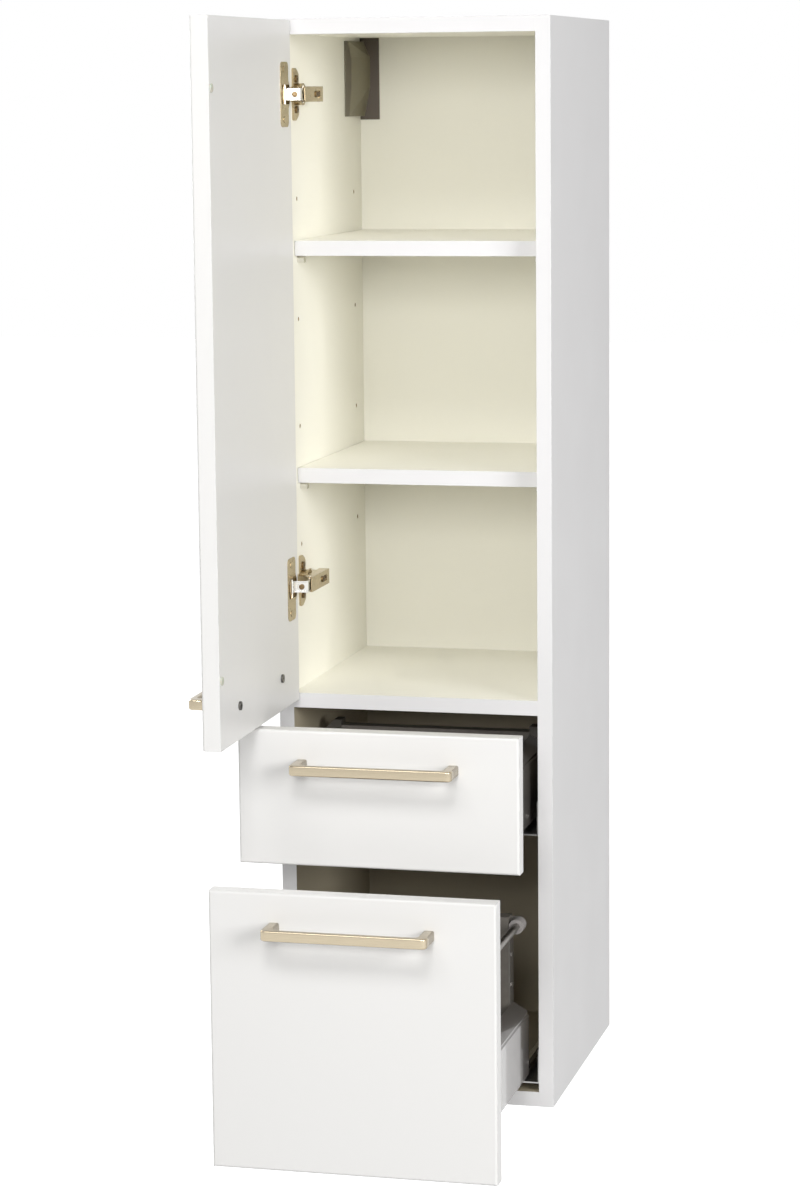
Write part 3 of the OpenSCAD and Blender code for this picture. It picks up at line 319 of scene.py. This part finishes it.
def nickel_plated(name, colour, roughness):
    """Plated and polished steel: a gloss clouded by the polish, with painted dark reflections along its
    edges.
    """
    material, tree, shader = new_material(name, colour, roughness, {"Metallic": 1.0})
    cloud = grain(tree, 5, roughness - 0.05, roughness + 0.08, detail=3)
    tree.links.new(cloud, shader.inputs["Roughness"])
    # Painted reflection: edges are darkened to half the colour to stand for dark reflections
    colour_by(tree, shader, [(along_edges(tree, 0.5, 0.45), [0.5 * c for c in colour])])
    soft_edges(tree, shader, 0.25, grain(tree, 5, detail=3), 0.02)
    return material


def zinc_plated(finishes):
    """Zinc plated sheet: grey and slightly blotched, duller than nickel."""
    material, tree, shader = new_material(
        "zinc_plated_steel", finishes.rail_zinc, 0.35, {"Metallic": 1.0}
    )
    spangle = grain(tree, 3, detail=4)
    tree.links.new(grain(tree, 3, 0.28, 0.46, detail=4), shader.inputs["Roughness"])
    soft_edges(tree, shader, 0.25, spangle, 0.01)
    return material


def enamel_silver(name, colour):
    """Silver-grey enamel with metal flake on steel: a clear gloss over a soft grain."""
    material, tree, shader = new_material(
        name, colour, 0.3, {"Metallic": 0.35, "Coat Weight": 1.0, "Coat Roughness": 0.05}
    )
    colour_by(tree, shader, [(grain(tree, 0.5), [0.92 * c for c in colour])])
    soft_edges(tree, shader, 0.3)
    return material


def moulded_plastic(name, colour, roughness, grain_mm):
    """Moulded plastic: an even colour with the fine spark-eroded grain of its tool."""
    material, tree, shader = new_material(name, colour, roughness)
    gloss = grain(tree, grain_mm, roughness - 0.05, roughness + 0.05)
    tree.links.new(gloss, shader.inputs["Roughness"])
    soft_edges(tree, shader, 0.5, grain(tree, grain_mm), 0.015)
    return material, tree, shader


def cover_plastic(finishes, node):
    """Moulded taupe plastic of a hanger cover: satin, its side plates and flange darkened as painted
    shade, its folds lightened as painted highlights.
    """
    material, tree, shader = moulded_plastic(f"taupe_plastic_{node}", finishes.cover_taupe, 0.4, 1.0)
    low, high = ([c + way * SKIN for c in corner] for way, corner in zip((-1, 1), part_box(node)))
    wall = 1.8 * MM
    flange = inside_box(tree, (low[0], high[1] - wall, low[2]), high)
    if high[0] < 0:
        side = inside_box(tree, low, (low[0] + wall, high[1], high[2]))
    else:
        side = inside_box(tree, (high[0] - wall, low[1], low[2]), high)
    # Painted shade on the side plate and the flange, and painted highlights along the folds
    folds = along_edges(tree, 0.6, 0.11)
    colour_by(
        tree,
        shader,
        [(side, finishes.plate_shade_taupe), (flange, finishes.flange_shade_taupe), (folds, finishes.fold_highlight_taupe)],
    )
    return material


def beech_dowel(finishes):
    """Beech: pale brown with short dark flecks along the grain."""
    material, tree, shader = new_material("beech", finishes.dowel_beech, 0.6)
    fleck = grain(tree, 0.8, detail=3, stretch=(6, 1, 1))
    colour_by(tree, shader, [(fleck, [0.7 * c for c in finishes.dowel_beech])])
    return material


def soft_bumper(finishes):
    """Clear polyurethane pad on a white door: milky, and only its rim stands out."""
    material, tree, shader = new_material(
        "clear_polyurethane",
        finishes.bumper_milk,
        0.5,
        {"IOR": 1.48, "Subsurface Weight": 0.2, "Subsurface Scale": 1.0 * MM},
    )
    tree.links.new(grain(tree, 3, 0.45, 0.55), shader.inputs["Roughness"])
    return material


def colour_property(name, description, code):
    """A colour that a user may change, with its default as an sRGB hex value."""
    return bpy.props.FloatVectorProperty(
        name=name,
        description=description,
        subtype="COLOR",
        size=3,
        min=0,
        max=1,
        default=hex_colour(code),
    )


def number_property(name, description, default, unit="LENGTH"):
    """A number that a user may change, in metres, watts or radians by its unit."""
    return bpy.props.FloatProperty(name=name, description=description, default=default, unit=unit)


class CabinetFinishes(bpy.types.PropertyGroup):
    """Colours of the cabinet's finishes."""

    front_white: colour_property("Fronts", "White foil of the door and the drawer fronts", "E2E1DF")
    board_white: colour_property("Boards", "White melamine of the carcass", "DCDBDB")
    inside_cream: colour_property("Inside", "Cream melamine of the shelves and the back", "FAF8ED")
    # Painted shade: this beige darkens the boards in the drawer bays so that they look shaded
    bay_shade_beige: colour_property("Drawer bays", "Beige melamine behind the drawers", "B9AF98")
    chip_brown: colour_property("Chipboard", "Raw chipboard in the bores and grooves", "A88B66")
    drawer_grey: colour_property("Drawer boards", "Grey melamine of the drawer boxes", "6E6962")
    handle_nickel: colour_property("Handles", "Brushed nickel of the handles", "B9AD96")
    hinge_nickel: colour_property("Hinges", "Warm nickel of the hinges", "C3B292")
    bright_steel: colour_property("Bright steel", "Bright plate of links, pins and screws", "E2E0DA")
    dark_nickel: colour_property(
        "Screws and rivets", "Dark nickel of the hinges' screws and rivets", "7D6A4E"
    )
    screw_grey: colour_property(
        "Handle screws", "Grey steel of the screws that hold the door's handle", "6F6D6A"
    )
    rail_zinc: colour_property("Rails", "Zinc plate of the runners and brackets", "A9A9A8")
    side_silver: colour_property("Drawer sides", "Silver enamel of the drawer sides", "6C6864")
    bracket_silver: colour_property(
        "Rear brackets", "Silver enamel of the deep drawer's rear brackets", "7A7671"
    )
    # Painted shade: the corner caps are coloured dark to stand for the shade of the drawer bay
    cap_shade_grey: colour_property(
        "Corner caps", "Dark grey plastic of the small drawer's corner caps", "4F4B44"
    )
    rod_steel: colour_property("Railing rods", "Satin steel of the railing rods", "8C8883")
    socket_grey: colour_property("Railing sockets", "Grey plastic of the railing's sockets", "9B9795")
    cover_taupe: colour_property("Hanger covers", "Taupe plastic of the hanger covers' ridges", "837D68")
    # Painted shade and highlights: the covers' plates and flanges are darkened and their folds lightened
    # for the way light falls on them
    plate_shade_taupe: colour_property(
        "Hanger cover plates", "Taupe of the covers' plates on the sides", "6F6859"
    )
    flange_shade_taupe: colour_property(
        "Hanger cover flanges", "Darker taupe of the covers' flat flanges", "594F45"
    )
    fold_highlight_taupe: colour_property("Hanger cover folds", "Paler taupe along the covers' folds", "8F8A76")
    dowel_beech: colour_property("Dowels", "Beech of the dowels", "C8A878")
    bumper_milk: colour_property("Bumpers", "Milky pad of the door bumpers", "BEBEB0")


class CabinetFittings(bpy.types.PropertyGroup):
    """Sizes of the fittings that are modelled here, beside those that come from the solids."""

    handle_bar: number_property("Handle bar", "Thickness of the handles' bar", 7 * MM)
    handle_foot: number_property("Handle foot", "Width of the handles' feet", 11 * MM)
    handle_bend: number_property("Handle bend", "Outer radius where bar and foot meet", 6 * MM)
    handle_crook: number_property("Handle crook", "Inner radius where bar and foot meet", 4 * MM)
    handle_edge: number_property("Handle edge", "Radius of the handles' long edges", 2 * MM)
    rivet_radius: number_property("Rivet", "Radius of the rivet heads on the hinges' links", 3 * MM)
    bumper_dome: number_property("Bumper dome", "Radius of the bumpers' rim", 0.8 * MM)


class CabinetStage(bpy.types.PropertyGroup):
    """Camera, floor and light."""

    camera_x: number_property("Camera X", "Camera's place to the right", 0.8437)
    camera_y: number_property("Camera Y", "Camera's place from the wall", -3.7352)
    camera_z: number_property("Camera Z", "Camera's place above the hooks", -0.0144)
    yaw: number_property("Yaw", "Camera's turn to the left", 0.247034, "ROTATION")
    pitch: number_property("Pitch", "Camera's tilt upwards", -0.15172, "ROTATION")
    roll: number_property("Roll", "Camera's roll", -0.009969, "ROTATION")
    lens: number_property("Lens", "Focal length in millimetres", 100.108, "NONE")
    floor_drop: number_property("Floor drop", "Height of the cabinet above the floor", 0.35)
    key_power: number_property("Key light", "Power of the light in front", 41, "POWER")
    high_power: number_property("High light", "Power of the light high in front", 37, "POWER")
    left_power: number_property(
        "Left light", "Power of the light high on the left, which lines the handles", 15, "POWER"
    )
    side_power: number_property("Side light", "Power of the soft light on the right", 102, "POWER")
    back_power: number_property(
        "Back light", "Power of the soft light behind, on the left", 110, "POWER"
    )
    world_light: number_property("Room light", "Strength of the light from all round", 0.2, "NONE")


def cover_nodes(names, material):
    """Gives CAD nodes their material."""
    for name in names:
        slots = NODES[name].data.materials
        slots.clear()
        slots.append(material)


def select_faces(test):
    """Selects in edit mode the faces whose middle and normal pass a test, and no others."""
    bpy.ops.mesh.select_mode(type="FACE")
    bpy.ops.mesh.select_all(action="DESELECT")
    mesh = bmesh.from_edit_mesh(bpy.context.object.data)
    for face in mesh.faces:
        face.select_set(test(face.calc_center_median(), face.normal))
    bmesh.update_edit_mesh(bpy.context.object.data)


def select_edges(test):
    """Selects in edit mode the edges whose middle and direction pass a test, and no others."""
    bpy.ops.mesh.select_mode(type="EDGE")
    bpy.ops.mesh.select_all(action="DESELECT")
    mesh = bmesh.from_edit_mesh(bpy.context.object.data)
    for edge in mesh.edges:
        ends = [v.co for v in edge.verts]
        edge.select_set(test((ends[0] + ends[1]) / 2, (ends[1] - ends[0]).normalized()))
    bmesh.update_edit_mesh(bpy.context.object.data)


def smooth_rounded(piece):
    """Shades a bevelled piece smooth, with its flats kept flat."""
    bpy.ops.object.shade_smooth_by_angle(angle=SMOOTH_FOLD)
    bpy.ops.object.modifier_add(type="WEIGHTED_NORMAL")
    bpy.ops.object.modifier_apply(modifier=piece.modifiers[-1].name)


def model_handle(name, shape, size):
    """Models a bar handle: its feet stand on the plane y = 0 and its bar runs along x."""
    length, reach, height = size
    foot_x = length / 2 - shape.handle_foot
    # How near an edge lies to its line, and how clear of the feet's ends
    near, clear = 0.1 * MM, 0.5 * MM
    bpy.ops.object.select_all(action="DESELECT")
    bpy.ops.mesh.primitive_cube_add(size=1, location=(0, shape.handle_bar / 2 - reach, 0))
    handle = bpy.context.object
    handle.name = name
    handle.scale = (length, shape.handle_bar, height)
    bpy.ops.object.transform_apply(location=True, rotation=True, scale=True)
    bpy.ops.object.mode_set(mode="EDIT")
    for side in (-1, 1):
        bpy.ops.mesh.select_all(action="SELECT")
        bpy.ops.mesh.bisect(plane_co=(side * foot_x, 0, 0), plane_no=(1, 0, 0))
    select_faces(lambda middle, normal: normal.y > 0.9 and abs(middle.x) > foot_x)
    bpy.ops.mesh.extrude_region_move(
        TRANSFORM_OT_translate={"value": (0, reach - shape.handle_bar, 0)}
    )
    bpy.ops.mesh.select_all(action="SELECT")
    bpy.ops.mesh.dissolve_limited(angle_limit=math.radians(1))
    select_edges(
        lambda middle, way: abs(way.z) > 0.9
        and abs(middle.x) > length / 2 - near
        and middle.y < near - reach
    )
    bpy.ops.mesh.bevel(offset=shape.handle_bend, segments=8, affect="EDGES")
    select_edges(
        lambda middle, way: abs(way.z) > 0.9
        and abs(abs(middle.x) - foot_x) < near
        and abs(middle.y + reach - shape.handle_bar) < near
    )
    bpy.ops.mesh.bevel(offset=shape.handle_crook, segments=6, affect="EDGES")
    select_edges(
        lambda middle, way: abs(way.z) < 0.1
        and abs(abs(middle.z) - height / 2) < near
        and middle.y < -clear
    )
    bpy.ops.mesh.bevel(offset=shape.handle_edge, segments=4, affect="EDGES")
    bpy.ops.object.mode_set(mode="OBJECT")
    smooth_rounded(handle)
    return handle


def model_rivet(name, radius):
    """Models a rivet head that stands on the link's face in front of y = 0: domed, with a dished end."""
    bpy.ops.object.select_all(action="DESELECT")
    bpy.ops.mesh.primitive_cylinder_add(
        vertices=32,
        radius=radius,
        depth=RIVET_RISE,
        location=(0, -RIVET_SEAT - RIVET_RISE / 2, 0),
        rotation=(math.pi / 2, 0, 0),
    )
    rivet = bpy.context.object
    rivet.name = name
    bpy.ops.object.transform_apply(location=True, rotation=True, scale=True)
    bpy.ops.object.mode_set(mode="EDIT")
    select_faces(lambda middle, normal: normal.y < -0.9)
    bpy.ops.mesh.bevel(offset=0.5 * MM, segments=4, affect="EDGES")
    select_faces(lambda middle, normal: normal.y < -0.99)
    bpy.ops.mesh.inset(thickness=0.25 * radius)
    bpy.ops.mesh.inset(thickness=0.1 * radius, depth=-RIVET_DISH)
    bpy.ops.object.mode_set(mode="OBJECT")
    bpy.ops.object.shade_smooth_by_angle(angle=SMOOTH_FOLD)
    return rivet


def copy_to(piece, name, place, turn=0.0):
    """Copies a piece with a mesh of its own, turns it about z and moves it, and applies its place."""
    bpy.ops.object.select_all(action="DESELECT")
    copy = piece.copy()
    copy.data = piece.data.copy()
    copy.name = name
    bpy.context.scene.collection.objects.link(copy)
    copy.location = place
    copy.rotation_euler = (0, 0, turn)
    copy.select_set(True)
    bpy.context.view_layer.objects.active = copy
    bpy.ops.object.transform_apply(location=True, rotation=True, scale=True)
    return copy


def turned_box(node, turn):
    """The lowest and highest corners of a node in axes that are turned about z."""
    back = Matrix.Rotation(-turn, 3, "Z")
    points = [back @ v.co for v in NODES[node].data.vertices]
    ranges = [(min(p[i] for p in points), max(p[i] for p in points)) for i in range(3)]
    return Vector([r[0] for r in ranges]), Vector([r[1] for r in ranges])


class CABINET_OT_boards(bpy.types.Operator):
    """Finish the carcass boards and shelves"""

    bl_idname = "cabinet.boards"
    bl_label = "Carcass boards"

    def execute(self, context):
        finishes = context.scene.cabinet_finishes
        cover_nodes(
            ["left_side_panel", "right_side_panel", "top_panel", "bottom_panel"],
            melamine_white(finishes),
        )
        shelves = {"fixed": ["fixed_shelf", "back_panel"], "loose": ["upper_shelf", "lower_shelf"]}
        for kind, names in shelves.items():
            front_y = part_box(names[0])[0][1]
            cover_nodes(names, melamine_cream(finishes, f"cream_melamine_{kind}", front_y))
        return {"FINISHED"}


class CABINET_OT_fronts(bpy.types.Operator):
    """Finish the door and the drawer fronts"""

    bl_idname = "cabinet.fronts"
    bl_label = "Door and drawer fronts"

    def execute(self, context):
        foil = foil_white(context.scene.cabinet_finishes)
        cover_nodes(["door_panel", "small_drawer_front", "deep_drawer_front"], foil)
        return {"FINISHED"}


class CABINET_OT_handles(bpy.types.Operator):
    """Model the bar handles"""

    bl_idname = "cabinet.handles"
    bl_label = "Handles"

    def execute(self, context):
        finishes = context.scene.cabinet_finishes
        low, high = (Vector(c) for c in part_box("small_drawer_handle"))
        first = model_handle("handle_pattern", context.scene.cabinet_fittings, high - low)
        across = nickel_brushed(finishes, "brushed_nickel_drawers", (60, 1, 1))
        along = nickel_brushed(finishes, "brushed_nickel_door", (1, 60, 1))
        for node, body, nickel, turn in (
            ("small_drawer_handle", "small_drawer", across, 0),
            ("deep_drawer_handle", "deep_drawer", across, 0),
            ("door_handle", "door", along, DOOR_TURN),
        ):
            low, high = turned_box(node, turn)
            foot = Vector(((low.x + high.x) / 2, high.y, (low.z + high.z) / 2))
            place = Matrix.Rotation(turn, 3, "Z") @ foot
            bar = copy_to(first, node.replace("handle", "bar_handle"), place, turn)
            bar.data.materials.append(nickel)
            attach(bar, body)
            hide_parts(node)
        bpy.data.objects.remove(first)
        return {"FINISHED"}


class CABINET_OT_bumpers(bpy.types.Operator):
    """Model the soft bumpers on the door's inner face"""

    bl_idname = "cabinet.bumpers"
    bl_label = "Door bumpers"

    def execute(self, context):
        low, high = turned_box("door_bumpers", DOOR_TURN)
        radius, rise = (high.x - low.x) / 2, high.y - low.y
        bpy.ops.object.select_all(action="DESELECT")
        bpy.ops.mesh.primitive_cylinder_add(
            vertices=48,
            radius=radius,
            depth=rise,
            location=((low.x + high.x) / 2, (low.y + high.y) / 2, high.z - radius),
            rotation=(math.pi / 2, 0, 0),
        )
        first = context.object
        bpy.ops.object.transform_apply(location=True, rotation=True, scale=True)
        bpy.ops.object.mode_set(mode="EDIT")
        select_faces(lambda middle, normal: normal.y > 0.9)
        dome = context.scene.cabinet_fittings.bumper_dome
        bpy.ops.mesh.bevel(offset=min(dome, 0.9 * rise), segments=6, affect="EDGES")
        select_faces(lambda middle, normal: normal.y > 0.999)
        bpy.ops.mesh.inset(thickness=0.4 * radius)
        bpy.ops.object.mode_set(mode="OBJECT")
        bpy.ops.object.shade_smooth_by_angle(angle=SMOOTH_FOLD)
        upper = copy_to(first, "soft_bumpers", (0, 0, 0), DOOR_TURN)
        lower = copy_to(first, "lower_bumper", (0, 0, low.z - high.z + 2 * radius), DOOR_TURN)
        bpy.data.objects.remove(first)
        upper.select_set(True)
        lower.select_set(True)
        context.view_layer.objects.active = upper
        bpy.ops.object.join()
        upper.data.materials.append(soft_bumper(context.scene.cabinet_finishes))
        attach(upper, "door")
        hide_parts("door_bumpers")
        return {"FINISHED"}


class CABINET_OT_hinges(bpy.types.Operator):
    """Finish the concealed hinges and the other bright fittings"""

    bl_idname = "cabinet.hinges"
    bl_label = "Hinges"

    def execute(self, context):
        finishes = context.scene.cabinet_finishes
        warm = nickel_plated("nickel_plated_steel", finishes.hinge_nickel, 0.22)
        bright = nickel_plated("bright_plated_steel", finishes.bright_steel, 0.16)
        dark = nickel_plated("dark_nickel_steel", finishes.dark_nickel, 0.3)
        cover_nodes(["hinge_screws"], dark)
        cover_nodes(
            ["door_handle_screws"], nickel_plated("grey_screw_steel", finishes.screw_grey, 0.3)
        )
        for side in ("upper", "lower"):
            cover_nodes([f"{side}_hinge_{part}" for part in ("plate", "arm", "cup")], warm)
            cover_nodes([f"{side}_hinge_link"], bright)
        cover_nodes(["arm_pivot_pins", "cup_pivot_pins"], bright)
        cover_nodes(["shelf_pins", "wall_hooks", "rail_screws"], bright)
        for drawer in ("small", "deep"):
            cover_nodes([f"{drawer}_handle_screws", f"{drawer}_middle_rails"], bright)
        rivet = model_rivet("rivet_pattern", context.scene.cabinet_fittings.rivet_radius)
        for side in ("upper", "lower"):
            low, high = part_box(f"{side}_hinge_link")
            place = (*RIVET_PLACE, (low[2] + high[2]) / 2)
            cap = copy_to(rivet, f"{side}_link_rivet", place, RIVET_TURN)
            cap.data.materials.append(dark)
            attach(cap, "hinge_links")
        bpy.data.objects.remove(rivet)
        return {"FINISHED"}


class CABINET_OT_drawers(bpy.types.Operator):
    """Finish the drawer boxes and their runners"""

    bl_idname = "cabinet.drawers"
    bl_label = "Drawer boxes and runners"

    def execute(self, context):
        finishes = context.scene.cabinet_finishes
        zinc = zinc_plated(finishes)
        enamel = enamel_silver("silver_enamel_steel", finishes.side_silver)
        bracket = enamel_silver("silver_enamel_brackets", finishes.bracket_silver)
        # Painted shade: the small drawer's corner caps are darkened to stand for the shade in its bay
        cap, *_ = moulded_plastic("dark_grey_plastic", finishes.cap_shade_grey, 0.5, 1.0)
        grey = melamine_grey(finishes)
        for drawer in ("small", "deep"):
            cover_nodes([f"{drawer}_side_left", f"{drawer}_side_right"], enamel)
            cover_nodes([f"{drawer}_drawer_bottom", f"{drawer}_drawer_back"], grey)
            cover_nodes([f"{drawer}_front_brackets", f"{drawer}_drawer_rails"], zinc)
            cover_nodes([f"{drawer}_cabinet_rail_{side}" for side in ("left", "right")], zinc)
        cover_nodes(["deep_rear_brackets"], bracket)
        cover_nodes(["small_rear_brackets"], cap)
        cover_nodes(["railing_rods"], nickel_plated("satin_steel", finishes.rod_steel, 0.3))
        socket, *_ = moulded_plastic("grey_moulded_plastic", finishes.socket_grey, 0.4, 1.0)
        cover_nodes(["railing_sockets"], socket)
        cover_nodes(["cam_fittings", "left_hanger_body", "right_hanger_body"], zinc)
        cover_nodes(["panel_dowels"], beech_dowel(finishes))
        return {"FINISHED"}


class CABINET_OT_hanger_covers(bpy.types.Operator):
    """Finish the hanger covers"""

    bl_idname = "cabinet.hanger_covers"
    bl_label = "Hanger covers"

    def execute(self, context):
        for node in ("left_hanger_cover", "right_hanger_cover"):
            cover_nodes([node], cover_plastic(context.scene.cabinet_finishes, node))
        return {"FINISHED"}


def add_area_light(name, place, size, power):
    """Adds a soft square light that looks at the middle of the cabinet."""
    light = bpy.data.lights.new(name, "AREA")
    light.energy = power
    light.size = size
    lamp = bpy.data.objects.new(name, light)
    bpy.context.scene.collection.objects.link(lamp)
    lamp.location = place
    way = Vector(LIT_POINT) - Vector(place)
    lamp.rotation_euler = way.to_track_quat("-Z", "Y").to_euler()


def seen_ray(tree):
    """1 for the rays that see a surface, directly or in a gloss or a glass, and 0 for the light's own."""
    path = add_node(tree, "ShaderNodeLightPath")
    seen = path.outputs["Is Camera Ray"]
    for kind in ("Is Glossy Ray", "Is Transmission Ray"):
        either = add_node(
            tree, "ShaderNodeMath", {"operation": "MAXIMUM"}, {0: seen, 1: path.outputs[kind]}
        )
        seen = either.outputs[0]
    return seen


def light_room(strength):
    """A world that is white to look at and lights the object at the given strength."""
    world = bpy.data.worlds.new("white_room")
    bpy.context.scene.world = world
    world.use_nodes = True
    tree = world.node_tree
    tree.nodes.clear()
    level = add_node(
        tree,
        "ShaderNodeMapRange",
        inputs={"Value": seen_ray(tree), "To Min": strength, "To Max": 1.0},
    )
    shade = add_node(
        tree, "ShaderNodeBackground", inputs={"Color": (1, 1, 1, 1), "Strength": level.outputs["Result"]}
    )
    add_node(tree, "ShaderNodeOutputWorld", inputs={"Surface": shade.outputs["Background"]})


def pale_floor():
    """A matt grey floor that looks white: the light that it lacks is added where it is seen."""
    material = bpy.data.materials.new("studio_floor")
    material.use_nodes = True
    tree = material.node_tree
    tree.nodes.clear()
    matt = add_node(tree, "ShaderNodeBsdfDiffuse", inputs={"Color": (0.5, 0.5, 0.5, 1)})
    place = add_node(tree, "ShaderNodeTexCoord")
    away = add_node(tree, "ShaderNodeVectorMath", {"operation": "LENGTH"}, {0: place.outputs["Object"]})
    paler = add_node(
        tree,
        "ShaderNodeMapRange",
        inputs={
            "Value": away.outputs["Value"],
            "From Min": FLOOR_NEAR,
            "From Max": FLOOR_FAR,
            "To Min": FLOOR_LIFT,
            "To Max": 1.0,
        },
    )
    level = add_node(
        tree, "ShaderNodeMath", {"operation": "MULTIPLY"}, {0: seen_ray(tree), 1: paler.outputs["Result"]}
    )
    lift = add_node(tree, "ShaderNodeEmission", inputs={"Strength": level.outputs[0]})
    total = add_node(
        tree, "ShaderNodeAddShader", inputs={0: matt.outputs["BSDF"], 1: lift.outputs["Emission"]}
    )
    add_node(tree, "ShaderNodeOutputMaterial", inputs={"Surface": total.outputs["Shader"]})
    return material


class CABINET_OT_stage(bpy.types.Operator):
    """Add the camera, the floor and the lights"""

    bl_idname = "cabinet.stage"
    bl_label = "Stage"

    def execute(self, context):
        stage = context.scene.cabinet_stage
        data = bpy.data.cameras.new("photo_camera")
        data.lens = stage.lens
        data.sensor_width = 36
        data.clip_end = 50
        camera = bpy.data.objects.new("photo_camera", data)
        context.scene.collection.objects.link(camera)
        turn = (
            Matrix.Rotation(stage.yaw, 4, "Z")
            @ Matrix.Rotation(math.pi / 2 + stage.pitch, 4, "X")
            @ Matrix.Rotation(stage.roll, 4, "Z")
        )
        camera.matrix_world = Matrix.Translation((stage.camera_x, stage.camera_y, stage.camera_z)) @ turn
        context.scene.camera = camera
        bpy.ops.object.select_all(action="DESELECT")
        floor_z = CAD_BOX[0][2] - stage.floor_drop
        bpy.ops.mesh.primitive_plane_add(size=FLOOR_SIZE, location=(0, 0, floor_z))
        floor = context.object
        floor.name = "floor"
        floor.data.materials.append(pale_floor())
        for name, place, size, power in LAMPS:
            add_area_light(name, place, size, getattr(stage, power))
        light_room(stage.world_light)
        context.scene.view_settings.view_transform = "Standard"
        return {"FINISHED"}


class CABINET_PT_panel(bpy.types.Panel):
    """Lists the steps that dress the cabinet"""

    bl_label = "Cabinet"
    bl_space_type = "VIEW_3D"
    bl_region_type = "UI"
    bl_category = "Cabinet"

    def draw(self, context):
        layout = self.layout
        for operator in OPERATORS:
            layout.operator(operator.bl_idname)
        scene = context.scene
        for group in (scene.cabinet_finishes, scene.cabinet_fittings, scene.cabinet_stage):
            box = layout.box()
            for name in group.__annotations__:
                box.prop(group, name)


OPERATORS = (
    CABINET_OT_boards,
    CABINET_OT_fronts,
    CABINET_OT_handles,
    CABINET_OT_bumpers,
    CABINET_OT_hinges,
    CABINET_OT_drawers,
    CABINET_OT_hanger_covers,
    CABINET_OT_stage,
)
CLASSES = (CabinetFinishes, CabinetFittings, CabinetStage, *OPERATORS, CABINET_PT_panel)


def register():
    """Registers the classes and hangs their values on the scene."""
    for cls in CLASSES:
        bpy.utils.register_class(cls)
    bpy.types.Scene.cabinet_finishes = bpy.props.PointerProperty(type=CabinetFinishes)
    bpy.types.Scene.cabinet_fittings = bpy.props.PointerProperty(type=CabinetFittings)
    bpy.types.Scene.cabinet_stage = bpy.props.PointerProperty(type=CabinetStage)


def unregister():
    """Takes the values and the classes away again."""
    del bpy.types.Scene.cabinet_stage
    del bpy.types.Scene.cabinet_fittings
    del bpy.types.Scene.cabinet_finishes
    for cls in reversed(CLASSES):
        bpy.utils.unregister_class(cls)


def main():
    """Runs each step in order."""
    register()
    bpy.ops.cabinet.boards()
    bpy.ops.cabinet.fronts()
    bpy.ops.cabinet.handles()
    bpy.ops.cabinet.bumpers()
    bpy.ops.cabinet.hinges()
    bpy.ops.cabinet.drawers()
    bpy.ops.cabinet.hanger_covers()
    bpy.ops.cabinet.stage()


if __name__ == "__main__":
    main()
